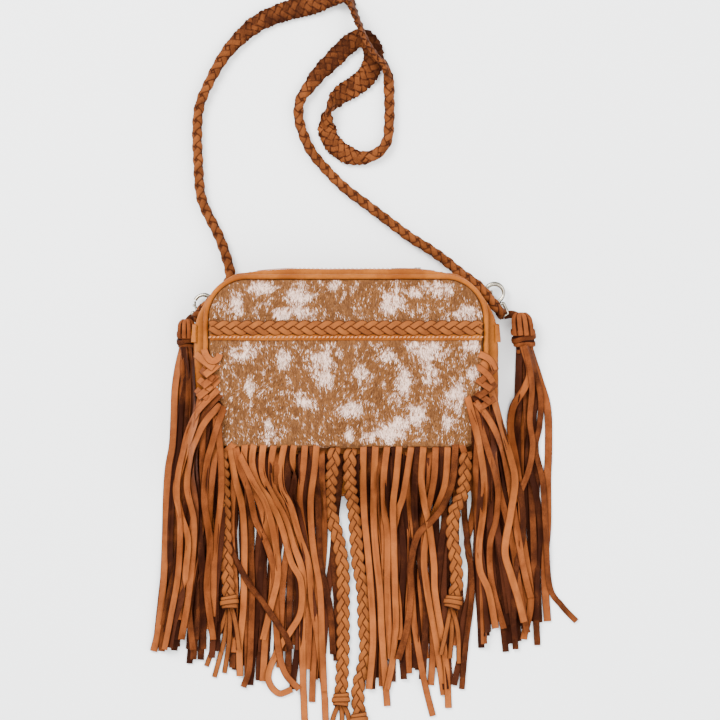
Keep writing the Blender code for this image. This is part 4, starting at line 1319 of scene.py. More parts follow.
# White patches of the hide: the middle and the half width and half height, in the photograph's pixels
WHITE_PATCHES: Tuple[Tuple[float, float, float, float], ...] = (
    (262, 287, 17, 7), (300, 296, 15, 11), (304, 312, 15, 8), (235, 306, 9, 12), (392, 303, 13, 13),
    (438, 288, 18, 8), (464, 312, 15, 8), (334, 285, 7, 5), (284, 313, 12, 7), (414, 292, 12, 6),
    (246, 350, 16, 9), (321, 360, 14, 16), (327, 378, 11, 12), (362, 371, 7, 10), (284, 359, 8, 11),
    (389, 356, 10, 6), (432, 352, 20, 11), (403, 380, 9, 16), (353, 408, 15, 9), (303, 399, 12, 8),
    (416, 414, 12, 12), (389, 431, 19, 10), (269, 429, 6, 16), (457, 396, 11, 18), (400, 423, 12, 8),
    (431, 372, 9, 15), (472, 372, 7, 7), (250, 386, 6, 9), (470, 344, 10, 6), (368, 436, 8, 6),
    (394, 398, 10, 8), (340, 352, 5, 5), (412, 344, 9, 5), (446, 420, 5, 12), (350, 432, 5, 8),
)


@dataclass
class Coat:
    """Short hair that lies down the hide."""

    palette: Palette
    per_square_metre: int = 1250000
    length: Tuple[float, float] = (0.0018, 0.0040)
    width: Tuple[float, float] = (0.00030, 0.00052)
    lift: Tuple[float, float] = (0.0003, 0.0011)
    root: float = 0.0002
    edge: float = 0.0008
    lean: float = 0.55
    scatter: float = 0.22
    tone_scatter: float = 0.17
    seed: int = 11

    def __post_init__(self) -> None:
        """Make a seeded source of chance, and place the white patches on the bag."""
        self.random = np.random.default_rng(self.seed)
        self.middles = np.array([from_photo(p[:2]) for p in WHITE_PATCHES])
        self.reaches = np.array([p[2:] for p in WHITE_PATCHES]) * PIXEL

    def whiteness(self, x: float, y: float) -> float:
        """Work out how white the hide is at a place, from its patches and a fine mottle.

        Args:
            x: The place across the front.
            y: The place up the front.

        Returns:
            The whiteness, about 0 for brown and 1 for white.
        """
        away = np.linalg.norm((np.array([x, y]) - self.middles) / self.reaches, axis=1).min()
        patch = min(max(1.30 - away, 0.0), 0.8)
        lump = noise.noise(Vector((x * 110, y * 95, 1.3)))
        middle = noise.noise(Vector((x * 260, y * 200, 5.1)))
        streak = noise.noise(Vector((x * 620, y * 380, 8.2)))
        return 0.24 + 0.48 * patch + 0.26 * lump + 0.30 * middle + 0.26 * streak

    def grow(self, name: str, level: Outline, low: float, high: float, base: float) -> None:
        """Cover part of the front with hair.

        Args:
            name: The piece's name.
            level: The panel's outline.
            low: The lowest Y with hair.
            high: The highest Y.
            base: The panel's height at its edge.
        """
        area = 2 * level.half * (high - low)
        count = int(area * self.per_square_metre)
        chance = self.random
        y = chance.uniform(low + 0.004, high - 0.0006, count)
        x = chance.uniform(-1, 1, count) * (np.array([level.half_width(v) for v in y]) - self.edge)
        lean = np.array([noise.noise(Vector((a * 30, b * 30, 0.5))) for a, b in zip(x, y)])
        angle = self.lean * lean + chance.normal(0, self.scatter, count)
        length = chance.uniform(*self.length, count)
        wide = chance.uniform(*self.width, count)
        white = np.array([self.whiteness(a, b) for a, b in zip(x, y)])
        white = white + chance.normal(0, self.tone_scatter, count)
        way = np.stack([np.sin(angle), -np.cos(angle)], axis=1)
        room = np.minimum(length, np.maximum(y - low - self.edge, 0.0015))
        share = np.array([0.0, 0.45, 1.0])
        spots = np.stack([x, y], 1)[:, None, :] + way[:, None, :] * (room[:, None] * share)[..., None]
        lift = (base + self.root
                + chance.uniform(*self.lift, count)[:, None] * np.array([0.0, 1.0, 0.75]))
        z = lift + dome(spots[..., 0], spots[..., 1])
        side = np.stack([way[:, 1], -way[:, 0]], axis=1)[:, None, :]
        half = wide[:, None, None] * np.array([0.7, 1.0, 0.15])[None, :, None] / 2
        left = np.concatenate([spots - side * half, z[..., None]], axis=2)
        right = np.concatenate([spots + side * half, z[..., None]], axis=2)
        shape = Shape()
        for a, b, tone in zip(left, right, white):
            shape.grid(np.stack([a, b], axis=1), float(np.clip(tone, 0, 1)), along=share)
        made = shape.build(name, self.palette[HAIR], outward=False)
        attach(made, "bag")


# Plaits

def lace_rows(path: np.ndarray, normal: np.ndarray, width: Union[float, np.ndarray], thickness: float,
              bend: Union[float, np.ndarray] = 0.0) -> np.ndarray:
    """Return a lace's surface along a path.

    Args:
        path: The lace's middle line.
        normal: The direction that its face looks in.
        width: Its width.
        thickness: Its thickness.
        bend: How strongly it curves round what it covers, as one over the radius.

    Returns:
        A grid of points, one ring a row.
    """
    ahead = headings(path)
    side = unit(np.cross(ahead, normal))
    up = unit(np.cross(side, ahead))
    half = np.broadcast_to(np.asarray(width, float) / 2, (len(path),))[:, None]
    out = STRIP_PROFILE[None, :, 0] * half
    rise = STRIP_PROFILE[None, :, 1] * thickness / 2 - out ** 2 * np.broadcast_to(
        np.asarray(bend, float), (len(path),))[:, None] / 2
    return path[:, None, :] + side[:, None, :] * out[..., None] + up[:, None, :] * rise[..., None]


@dataclass(frozen=True)
class Plait:
    """A flat plait of a few laces that cross over and under each other."""

    strands: int
    reach: float
    depth: float
    period: float
    lace: float
    thickness: float

    BEND = 18.0
    TILT = 0.35
    UNEVEN = 0.05

    def weave(self, shape: Shape, path: np.ndarray, side: np.ndarray, up: np.ndarray, tone: float) -> None:
        """Add the plait along a path.

        Args:
            shape: The shape that takes the laces.
            path: The plait's middle line.
            side: The direction of its width.
            up: The direction of its face.
            tone: The leather's tone.
        """
        length = travelled(path)
        for k in range(self.strands):
            turn = 2 * math.pi * (length / self.period + k / self.strands)
            swing = 1.08 * (np.sin(turn) - np.sin(3 * turn) / 9)
            line = (path + side * (self.reach * swing)[:, None]
                    + up * (self.depth * np.sin(2 * turn))[:, None])
            tilt = unit(up + side * (self.TILT * np.sin(turn))[:, None])
            rows = lace_rows(line, tilt, self.lace, self.thickness, self.BEND)
            shape.lace(above_floor(rows), tone + self.UNEVEN * math.sin(2.4 * k), line)


# The strap

STRAP_ROUTE: Tuple[Point, ...] = (
    (-0.1452, 0.0444, 0.0152), (-0.1432, 0.0462, 0.0170), (-0.1402, 0.0492, 0.0202),
    (-0.1356, 0.0545, 0.0214), (-0.1240, 0.0650, 0.0190), (-0.1139, 0.0770, 0.0130),
    (-0.1125, 0.0900, 0.0080), (-0.1217, 0.1197, 0.0065),
    (-0.1361, 0.1492, 0.0065), (-0.1410, 0.1661, 0.0065), (-0.1429, 0.1931, 0.0065),
    (-0.1439, 0.2211, 0.0065), (-0.1419, 0.2472, 0.0065), (-0.1323, 0.2713, 0.0065),
    (-0.1178, 0.2969, 0.0065), (-0.1014, 0.3157, 0.0065), (-0.0830, 0.3302, 0.0065),
    (-0.0570, 0.3408, 0.0065), (-0.0309, 0.3476, 0.0065), (-0.0154, 0.3543, 0.0065),
    (-0.0029, 0.3543, 0.0070), (0.0039, 0.3485, 0.0090), (0.0106, 0.3312, 0.0160),
    (0.0193, 0.3109, 0.0198), (0.0294, 0.2954, 0.0195), (0.0372, 0.2870, 0.0140),
    (0.0410, 0.2740, 0.0075), (0.0418, 0.2549, 0.0065), (0.0420, 0.2423, 0.0065),
    (0.0415, 0.2288, 0.0065), (0.0400, 0.2160, 0.0065), (0.0340, 0.2060, 0.0065),
    (0.0240, 0.2000, 0.0065), (0.0110, 0.1985, 0.0065), (-0.0030, 0.2040, 0.0065),
    (-0.0145, 0.2150, 0.0065), (-0.0188, 0.2300, 0.0065), (-0.0160, 0.2455, 0.0065),
    (-0.0058, 0.2588, 0.0065), (0.0077, 0.2674, 0.0065), (0.0193, 0.2770, 0.0065),
    (0.0258, 0.2900, 0.0065), (0.0262, 0.3020, 0.0065), (0.0212, 0.3115, 0.0065),
    (0.0116, 0.3138, 0.0065), (0.0000, 0.3061, 0.0065), (-0.0135, 0.2925, 0.0065),
    (-0.0261, 0.2800, 0.0065), (-0.0357, 0.2670, 0.0065), (-0.0435, 0.2560, 0.0065),
    (-0.0460, 0.2430, 0.0065), (-0.0439, 0.2288, 0.0065), (-0.0348, 0.2066, 0.0065),
    (-0.0203, 0.1883, 0.0065), (-0.0014, 0.1694, 0.0065), (0.0208, 0.1525, 0.0065),
    (0.0425, 0.1361, 0.0065), (0.0618, 0.1217, 0.0065), (0.0800, 0.1105, 0.0070),
    (0.0956, 0.0994, 0.0085), (0.1060, 0.0905, 0.0120), (0.1165, 0.0825, 0.0170),
    (0.1265, 0.0750, 0.0210), (0.1335, 0.0680, 0.0216), (0.1405, 0.0595, 0.0216),
    (0.1455, 0.0530, 0.0206), (0.1490, 0.0488, 0.0170), (0.1510, 0.0464, 0.0152),
)


@dataclass(frozen=True)
class Station:
    """How the strap is formed at one distance along it."""

    at: float
    flat: float
    roll: float
    tone: float


STATIONS = (
    Station(0.000, 0.0, 0, 0.42), Station(0.255, 0.0, 0, 0.42), Station(0.285, 0.25, 0, 0.37),
    Station(0.320, 0.75, 0, 0.30), Station(0.370, 1.0, 0, 0.27), Station(0.405, 1.0, 10, 0.30),
    Station(0.425, 0.95, 78, 0.40), Station(0.490, 0.85, 84, 0.39), Station(0.510, 0.30, 60, 0.39),
    Station(0.525, 0.05, 0, 0.39), Station(0.580, 0.0, 0, 0.42), Station(0.598, 0.30, 30, 0.40),
    Station(0.615, 0.85, 0, 0.38), Station(0.652, 0.85, 0, 0.38), Station(0.668, 0.45, 80, 0.37),
    Station(0.684, 0.90, 165, 0.40), Station(0.700, 1.0, 180, 0.38), Station(0.730, 1.0, 180, 0.34),
    Station(0.750, 0.9, 180, 0.24), Station(0.800, 0.85, 180, 0.27), Station(0.828, 0.45, 180, 0.34),
    Station(0.845, 0.0, 180, 0.42), Station(1.160, 0.0, 180, 0.42),
)


@dataclass
class Strap:
    """The plaited strap, round on most of its length and flat over the shoulder.

    It has four laces, and four more between them that show where it is flat.
    """

    palette: Palette
    row: float = 0.0016
    laces: int = 8
    round_reach: float = 0.0040
    wide: float = 0.0080
    thin: float = 0.0014
    wave: float = 0.0007
    lace_round: float = 0.0076
    lace_flat: float = 0.0066
    lace_hidden: float = 0.0030
    thick: float = 0.0016
    period_round: float = 0.0250
    period_flat: float = 0.0330
    flat_width: float = 0.0220
    sink: float = 0.0030
    stand: float = 0.0055

    def build(self) -> None:
        path = curve_through(STRAP_ROUTE, self.row)
        length = travelled(path)
        at = [s.at for s in STATIONS]
        flat = np.interp(length, at, [s.flat for s in STATIONS])
        roll = np.radians(np.interp(length, at, [s.roll for s in STATIONS]))
        tone = np.interp(length, at, [s.tone for s in STATIONS])
        flat, roll = blurred(flat, 5), blurred(roll, 4)
        on_floor = np.clip((0.0085 - path[:, 2]) / 0.0015, 0, 1)
        path[:, 2] -= self.sink * flat * on_floor * np.abs(np.cos(roll))
        path[:, 2] += self.stand * flat * on_floor * np.abs(np.sin(roll))
        ahead = headings(path)
        flat_side = unit(np.stack([ahead[:, 1], -ahead[:, 0], np.zeros(len(path))], axis=1))
        flat_up = unit(np.cross(flat_side, ahead))
        side = flat_side * np.cos(roll)[:, None] + flat_up * np.sin(roll)[:, None]
        up = flat_up * np.cos(roll)[:, None] - flat_side * np.sin(roll)[:, None]
        wide = self.round_reach + (self.wide - self.round_reach) * flat
        thin = self.round_reach + (self.thin - self.round_reach) * flat
        period = self.period_round + (self.period_flat - self.period_round) * flat
        phase = np.concatenate([[0], np.cumsum(2 * math.pi / period[1:] * np.diff(length))])
        shape = Shape()
        for k in range(self.laces):
            way, extra = (1 if k % 2 == 0 else -1), k // 4
            angle = way * phase + math.pi * (k // 2 % 2) + math.pi / 2 * extra + 0.4
            wave = way * self.wave * (np.cos(2 * phase) * (1 - flat) + np.cos(4 * phase) * flat)
            inside = 1 - extra * 0.45 * (1 - flat)
            line = (path + side * ((wide * inside + wave) * np.cos(angle))[:, None]
                    + up * ((thin * inside + wave) * np.sin(angle))[:, None])
            out = unit(side * (np.cos(angle) * thin)[:, None] + up * (np.sin(angle) * wide)[:, None])
            bend = 1 / self.round_reach * (1 - flat) * 0.8 + 25 * flat
            narrow = self.lace_hidden if extra else self.lace_round
            lace = narrow + (self.lace_flat - narrow) * flat
            rows = lace_rows(line, out, lace, self.thick, bend)
            tones = np.repeat((tone + 0.05 * math.sin(k * 2.1))[:, None], rows.shape[1], axis=1).ravel()
            shape.lace(above_floor(rows), tones, line)
        strap = shape.build("strap_plait", self.palette[BRAID])
        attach(strap, "bag")
        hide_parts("strap")
        STRAP_ROUTE[0]
        float(length[-1])
        LOG.info("strap built, %.3f m long", length[-1])


# Hardware and knots

class Side(Enum):
    """The two ends of the strap."""

    LEFT = -1
    RIGHT = 1

    @property
    def word(self) -> str:
        """Return the side's name as the nodes have it."""
        return self.name.lower()


HOOK_PLACE = {Side.LEFT: (-0.1376, 0.0570), Side.RIGHT: (0.1434, 0.0676)}
EYE_PLACE = {Side.LEFT: (-0.1458, 0.0449), Side.RIGHT: (0.1526, 0.0459)}
HARDWARE_Z = 0.0085


@dataclass
class Clasp:
    """One swivel clasp: a cast hook, its sprung gate, the swivel and the eye."""

    palette: Palette
    side: Side
    radius: float = 0.0088
    wire: float = 0.0016
    tip: float = math.radians(100)
    gate: Tuple[float, float] = (math.radians(166), math.radians(106))
    eye_half: float = 0.0042
    eye_corner: float = 0.0010
    hook_girths: Tuple[float, ...] = (0.0024, 0.0018, 0.0015, 0.0018, 0.0022, 0.0022, 0.0020, 0.0016, 0.0018)
    neck_girths: Tuple[float, ...] = (0.0024, 0.0029, 0.0026)
    gate_girths: Tuple[float, ...] = (0.0016, 0.0012, 0.0010, 0.0012)
    thumb_girths: Tuple[float, ...] = (0.0009, 0.0012, 0.0009)

    def __post_init__(self) -> None:
        """Work out the clasp's own axes from the places of its hook and its eye."""
        self.centre = np.array([*HOOK_PLACE[self.side], HARDWARE_Z])
        eye = np.array([*EYE_PLACE[self.side], HARDWARE_Z])
        self.reach = float(np.linalg.norm(self.centre - eye))
        self.x = (self.centre - eye) / self.reach
        self.z = np.array(UP)
        self.y = np.cross(self.z, self.x)

    def place(self, points: np.ndarray) -> np.ndarray:
        """Turn points from the clasp's own axes into the bag's."""
        return self.centre + points[:, :1] * self.x + points[:, 1:2] * self.y + points[:, 2:] * self.z

    def rod(self, shape: Shape, points: Sequence[Point], girth: Union[float, Sequence[float]],
            flatness: float = 1.0, loop: bool = False) -> None:
        """Add a bent rod of varying girth.

        Args:
            shape: The shape that takes it.
            points: Its middle line on the clasp's own axes.
            girth: Its radius, one or several along it.
            flatness: Its height as a share of its width.
            loop: Whether it ends where it starts.
        """
        knots = np.array(list(points) + ([points[0]] if loop else []), float)
        line = curve_through(knots, 0.0005)
        share = np.linspace(0, 1, len(line))
        girths = np.interp(share, np.linspace(0, 1, len(np.atleast_1d(girth))), np.atleast_1d(girth))
        line = self.place(line)
        up = rows_of(UP, len(line))
        side = unit(np.cross(headings(line), up))
        shape.solid(sweep(line, side, up, round_profile(12), girths, girths * flatness))

    def build(self) -> None:
        """Build the clasp's three pieces: the hook with its swivel neck, the gate and the eye."""
        turns = np.linspace(-math.pi, self.tip, 22)
        arc = [(self.radius * math.cos(t), self.radius * math.sin(t), 0.0) for t in turns]
        start = [(-self.radius - self.wire - 0.0004, 0, 0), (-self.radius - 0.0008, 0.0002, 0)]
        shape = Shape()
        self.rod(shape, start + arc, self.hook_girths, 0.92)
        neck = -self.radius - self.wire
        self.rod(shape, [(neck - 0.0003, 0, 0), (neck + 0.0006, 0, 0), (neck + 0.0018, 0, 0)],
                 self.neck_girths)
        self.finish(shape, "hook", "clasp_hook_")
        shape = Shape()
        first, last = self.gate
        root = (self.radius * math.cos(first), self.radius * math.sin(first), 0)
        tip = (self.radius * math.cos(last), self.radius * math.sin(last), 0)
        middle = ((root[0] + tip[0]) / 2 - 0.0004, (root[1] + tip[1]) / 2 + 0.0006, 0)
        self.rod(shape, [root, middle, tip], self.gate_girths, 0.9)
        thumb = [(middle[0] - 0.0002, middle[1] + 0.0006, 0), (middle[0] - 0.0012, middle[1] + 0.0022, 0)]
        self.rod(shape, thumb, self.thumb_girths)
        self.finish(shape, "gate", "clasp_gate_")
        shape = Shape()
        near = neck - 0.0007 - 0.0012
        far = -self.reach
        corner, half = self.eye_corner, self.eye_half
        frame = [(near, -half + corner, 0), (near, half - corner, 0), (near - corner, half, 0),
                 (far + corner, half, 0), (far, half - corner, 0), (far, -half + corner, 0),
                 (far + corner, -half, 0), (near - corner, -half, 0)]
        self.rod(shape, frame, self.wire, loop=True)
        self.finish(shape, "eye", "clasp_eye_")
        LOG.info("clasp %s built", self.side.word)

    def finish(self, shape: Shape, name: str, node: str) -> None:
        """Make one piece and let it ride on its body.

        Args:
            shape: The piece's shape.
            name: Its own name, without the side.
            node: The node's name, without the side.
        """
        piece = shape.build("%s_metal_%s" % (name, self.side.word), self.palette[NICKEL])
        body = node + self.side.word
        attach(piece, "bag" if name == "eye" else body)
        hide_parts(body)


@dataclass(frozen=True)
class Wrap:
    """One turn of lace round a knot, with sizes as shares of the knot's and the lace's."""

    swell: float
    lean: float
    width: float
    tone: float


@dataclass
class Knot:
    """One wrapped knot where the strap ends below its clasp."""

    palette: Palette
    side: Side
    start: Point
    end: Point
    width: float
    height: float
    wraps: Tuple[Wrap, ...] = (Wrap(1.00, 0.0012, 1.05, 0.40), Wrap(1.02, -0.0012, 1.0, 0.30),
                               Wrap(0.90, 0.0010, 0.95, 0.38), Wrap(0.70, -0.0008, 0.8, 0.46))
    folds: int = 4
    full: float = 0.88
    lace: float = 0.0050
    fold_share: float = 0.82
    thick: float = 0.0022
    loop: float = 0.0075
    steps: int = 24

    def __post_init__(self) -> None:
        """Turn both ends into vectors and find the clasp's eye."""
        self.top, self.foot = np.array(self.start), np.array(self.end)
        self.eye = np.array([*EYE_PLACE[self.side], HARDWARE_Z])

    def swell(self, share: np.ndarray) -> np.ndarray:
        """Return the core's size at shares of the knot's length, as part of its full size."""
        return np.interp(share, [0, 0.05, 0.14, 0.3, 0.7, 0.9, 1],
                         [0.25, 0.56, 0.80, self.full, 0.84, 0.60, 0.48])

    def middle(self, share: float) -> np.ndarray:
        """Return the knot's middle line, which sinks to the floor at its end."""
        point = self.top + (self.foot - self.top) * share
        point[2] = max(self.height / 2 * (1 - share ** 2.5) + 0.0045 * share ** 2.5, 0.0040)
        return point

    def ring(self, share: float, swell: float, lean: float,
             turns: float) -> Tuple[np.ndarray, np.ndarray]:
        """Lead a wrap round the knot.

        Args:
            share: Its place as a share of the knot's length.
            swell: Its size as a share of the knot's.
            lean: How far it leans along the knot.
            turns: How many times it goes round.

        Returns:
            Its path and its outward directions.
        """
        axis = (self.foot - self.top) / np.linalg.norm(self.foot - self.top)
        side = np.array([1.0, 0.0, 0.0]) - axis * axis[0]
        side /= np.linalg.norm(side)
        up = np.cross(side, axis)
        up = up if up[2] > 0 else -up
        angle = np.linspace(-0.6 * math.pi, (2 * turns - 0.6) * math.pi, 44)
        half_w = self.width / 2 * swell - self.thick / 2
        half_h = self.height / 2 * swell - self.thick / 2
        middle = self.middle(share)
        half_h = min(half_h, middle[2] - self.thick / 2 - 0.0004)
        out = side * np.cos(angle)[:, None] * half_w + up * np.sin(angle)[:, None] * half_h
        drift = axis * (lean * np.cos(angle) + 0.0006 * np.sin(3 * angle))[:, None]
        facing = side * np.cos(angle)[:, None] * half_h + up * np.sin(angle)[:, None] * half_w
        return middle + out + drift, unit(facing)

    def build(self) -> None:
        """Build the knot."""
        shape = Shape()
        core = np.stack([self.middle(s) for s in np.linspace(0.02, 0.98, self.steps)])
        swell = self.swell(np.linspace(0, 1, self.steps))
        up = rows_of(UP, self.steps)
        side = unit(np.cross(headings(core), up))
        tall = np.minimum(self.height / 2 * swell, core[:, 2] - 0.0006)
        # Painted shade: the core takes a near-black tone, seen only in the gaps between the folds and wraps
        shape.solid(sweep(core, side, up, round_profile(16), self.width / 2 * swell, tall), 0.05)
        for k in range(self.folds):
            spread = (k - (self.folds - 1) / 2) / self.folds
            shares = np.linspace(0.54, -0.01, 22)
            line = np.stack([self.middle(max(s, 0.0)) for s in shares])
            wide = self.swell(shares) / self.full
            crown = math.sqrt(1 - (1.7 * spread) ** 2)
            line[:, 0] += spread * self.width * 0.92 * (0.30 + 0.70 * wide)
            line[:, 2] += (self.height / 2 * self.full * wide + 0.0006) * crown
            out = unit(np.stack([np.full(22, spread * 2.0), 1.5 * (1 - wide), 0.3 + crown * wide], axis=1))
            rows = lace_rows(line, out, self.width / self.folds * self.fold_share, self.thick, 40)
            shape.lace(rows, 0.40 + 0.05 * (k % 3), line)
        line = curve_through([self.middle(0.12) + np.array([0, 0, 0.002]), (self.middle(0.0) + self.eye) / 2,
                              self.eye - np.array([0, 0, 0.001])], 0.001)
        rows = lace_rows(line, rows_of(UP, len(line)), self.loop, self.thick, 20)
        shape.lace(rows, 0.22, line)
        for k, wrap in enumerate(self.wraps):
            line, out = self.ring(0.46 + 0.14 * k, wrap.swell, wrap.lean, 1.05)
            rows = lace_rows(line, out, self.lace * wrap.width, self.thick, 30)
            shape.lace(above_floor(rows), wrap.tone, line)
        knot = shape.build("knot_wraps_" + self.side.word, self.palette[LACE])
        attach(knot, "bag")
        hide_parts("tassel_knot_" + self.side.word)
        LOG.info("knot %s built", self.side.word)


# The fringe: routes are places in the photograph, from each strip's top to its end

LEFT_TASSEL = (
    Strip(((183, 346), (178, 366), (174.5, 390), (173.5, 418), (172, 445), (168, 468), (166, 497),
           (165, 535), (163, 583), (158, 630), (153, 652)), 0.0072, 0.50, starts_in=False),
    Strip(((186, 346), (183, 366), (185, 397), (183, 430), (180, 460), (177, 497), (175, 535), (171.6, 583),
           (165, 621), (161, 652)), 0.0066, 0.38, starts_in=False),
    Strip(((190, 346), (189, 372), (188, 405), (186, 440), (187, 480), (190, 515), (189, 552), (184, 590),
           (174, 621), (169, 648)), 0.0060, 0.22, starts_in=False),
    Strip(((184, 347), (186, 380), (181, 410), (178, 450), (173, 485), (170, 540), (172, 590), (178, 636)),
          0.0060, 0.16, starts_in=False),
    Strip(((189, 347), (191, 368), (193, 395), (196, 430), (199, 470), (203, 506), (208, 544), (211, 583),
           (213, 620)), 0.0062, 0.26, starts_in=False),
)
RIGHT_TASSEL = (
    Strip(((527, 346), (535, 372), (536, 400), (531, 432), (528, 462), (536, 492), (541, 530), (538, 570),
           (536, 620)), 0.0062, 0.20, starts_in=False),
    Strip(((522, 346), (528, 374), (522, 396), (517, 430), (512, 470), (517, 505), (521, 550), (516, 600),
           (519, 642)), 0.0060, 0.18, starts_in=False),
    Strip(((529, 346), (540, 380), (548, 409), (549, 449), (548, 480), (548, 525), (545, 573), (548, 622)),
          0.0074, 0.44, starts_in=False),
    Strip(((528, 346), (534, 369), (541, 397), (540, 426), (536, 449), (543, 482), (546, 530), (550, 586),
           (562, 606), (577, 622)), 0.0058, 0.34, starts_in=False),
    Strip(((523, 346), (529.5, 371), (525, 387), (513.5, 407), (511, 430), (516, 460), (521, 497),
           (523, 535), (531, 598), (524, 640)), 0.0070, 0.52, starts_in=False),
    Strip(((525, 346), (532, 385), (530, 420), (533, 445), (529, 470), (521, 490), (510, 513), (509, 555),
           (517, 600), (523, 612)), 0.0062, 0.40, starts_in=False),
)
LEFT_LACING = (
    Strip(((197, 389), (202, 393), (209, 398)), 0.0066, 0.44),
    Strip(((215, 384), (208, 390), (199, 397)), 0.0068, 0.60),
    Strip(((200, 379), (206, 384), (213, 389)), 0.0068, 0.62),
    Strip(((220, 373), (213, 379), (204, 386)), 0.0070, 0.48),
    Strip(((202, 369), (208, 374), (215, 379)), 0.0066, 0.46),
    Strip(((222, 362), (215, 368), (206, 375)), 0.0072, 0.66),
    Strip(((196.5, 354), (204, 360), (215, 368)), 0.0074, 0.64),
    Strip(((205, 349), (208, 356), (213, 361), (219, 359), (221, 354)), 0.0070, 0.64),
)
LEFT_SIDE = (
    Strip(((222, 402), (213, 411), (205, 424), (199, 440), (196, 460), (199, 520), (203, 583), (203, 650)),
          0.0062, 0.18),
    Strip(((224, 392), (214, 402), (206, 414), (197, 440), (192, 470), (196, 505), (194, 554), (190, 583),
           (189, 611), (193, 650)), 0.0064, 0.30),
    Strip(((222, 404), (207, 421), (197, 440), (191, 457), (187, 487), (194, 520), (193, 554), (188, 600),
           (181, 640)), 0.0068, 0.56),
    Strip(((226, 406), (219, 425), (213, 445), (208, 464), (205, 500), (210, 545), (207, 590), (213, 640)),
          0.0068, 0.50),
    Strip(((222, 376), (213, 387), (206, 399), (199, 411), (195, 426), (188, 445), (180, 470), (176, 491),
           (181, 516), (188, 539), (186, 569), (183, 592), (174, 621), (169, 648)), 0.0070, 0.68,
          turns=((0.78, 1.0),)),
    Strip(((221, 388), (207, 402), (197, 414), (188, 432), (183, 452), (178, 475), (177, 497), (180, 530),
           (178, 575), (171, 615), (164, 650)), 0.0062, 0.60),
)
RIGHT_LACING = (
    Strip(((494, 398), (487, 402), (479, 407)), 0.0062, 0.40),
    Strip(((474, 392), (481, 396), (489, 402)), 0.0062, 0.46),
    Strip(((495, 383), (488, 389), (477, 396)), 0.0064, 0.44),
    Strip(((473, 377), (480, 382), (490, 389)), 0.0068, 0.56),
    Strip(((496, 366), (489, 373), (479, 381)), 0.0066, 0.50),
    Strip(((474, 366), (480, 369), (487, 375), (492, 382)), 0.0066, 0.60),
    Strip(((475, 353), (483, 356), (490, 361), (494, 370)), 0.0070, 0.68),
)
RIGHT_SIDE = (
    Strip(((470, 402), (478, 422), (486, 447), (494, 472), (498, 493), (496, 520), (490, 545), (492, 583),
           (504, 629)), 0.0064, 0.38),
    Strip(((472, 395), (484, 410), (500, 432), (510, 465), (521, 497), (523, 535), (515, 575), (514, 611),
           (516, 650)), 0.0060, 0.26),
    Strip(((466, 395), (471, 415), (477, 440), (483, 477), (483, 512), (479, 545), (480, 570), (489, 592),
           (496, 629)), 0.0070, 0.58),
    Strip(((474, 401), (489, 421), (502, 449), (509, 480), (515, 519), (521, 554), (527, 583), (531, 598)),
          0.0068, 0.54),
    Strip(((480, 359), (486, 368), (490, 389), (501, 426), (510, 455), (515, 480), (511, 512), (505, 550),
           (511, 575), (518, 598), (524, 622)), 0.0074, 0.64),
)
BOTTOM_LEFT = (
    Strip(((231, 445), (226, 470), (226, 520), (230, 580), (236, 640)), 0.0064, 0.16),
    Strip(((262, 443), (268, 500), (262, 560), (256, 620), (250, 686)), 0.0064, 0.14),
    Strip(((290, 443), (288, 500), (296, 560), (300, 620), (292, 690)), 0.0064, 0.15),
    Strip(((312, 443), (318, 500), (320, 560), (330, 610), (333, 655)), 0.0064, 0.20),
    Strip(((237.6, 441), (224, 454), (215.6, 468), (212.7, 497), (213.7, 535), (215.6, 573), (218.5, 606)),
          0.0066, 0.64),
    Strip(((305.6, 442), (303.6, 468), (299.8, 497), (302.7, 527), (308.4, 554), (316, 592), (316, 630),
           (313, 669), (312, 703)), 0.0066, 0.56),
    Strip(((275, 442), (272, 462), (274, 487), (281.6, 502), (291, 525), (297, 554), (306.5, 583),
           (309, 625), (307, 670)), 0.0066, 0.50),
    Strip(((295, 442), (293, 458), (295, 477), (293, 497), (299, 516), (304.6, 544), (309, 580), (316, 625)),
          0.0064, 0.58, turns=((0.16, 1.0),)),
    Strip(((249, 442), (249, 480), (251, 521), (251, 554), (252, 592), (251, 630.5), (249, 669), (243, 688)),
          0.0062, 0.34),
    Strip(((231, 446), (235.7, 477), (241.4, 502), (244, 535), (244, 573), (243, 611), (239.5, 646),
           (239.5, 677)), 0.0068, 0.62),
    Strip(((285.5, 442), (281.6, 464), (282.6, 487), (291, 506), (299, 535), (308.4, 563.5), (312, 602),
           (318, 640), (323.7, 688), (325.6, 724)), 0.0066, 0.60),
    Strip(((317, 443), (315, 468), (311, 497), (311, 525), (314, 554), (320, 592), (322, 640), (324, 692)),
          0.0066, 0.64),
    Strip(((264.4, 442), (262.5, 462), (264.4, 477), (274, 497), (285.5, 519.5), (293, 544), (302.7, 573),
           (302.7, 611), (302.7, 669), (304.6, 726)), 0.0068, 0.60),
    Strip(((246, 442), (245, 462), (250, 477), (262.5, 512), (272, 554), (272, 592), (266, 630.5),
           (262.5, 682)), 0.0068, 0.58),
    Strip(((255, 441), (253, 462), (258.7, 483), (270, 500), (281.6, 527), (291, 561.6), (300.8, 581),
           (300.8, 611), (291, 630.5), (278, 650), (268, 678), (278, 694), (292, 690)), 0.0066, 0.66),
    Strip(((236.7, 445), (241.4, 468), (250, 493), (255, 519.5), (266, 542.5), (274, 573), (276, 611),
           (277, 640), (284, 672), (299, 690)), 0.0066, 0.48),
    Strip(((239.5, 452), (255, 483), (266, 504), (274, 535), (278, 573), (271, 606),
           (263, 640)), 0.0068, 0.68),
    Strip(((227, 534), (232, 552), (247, 581), (262.5, 602), (274, 619), (285.5, 636),
           (291, 650)), 0.0060, 0.30),
)
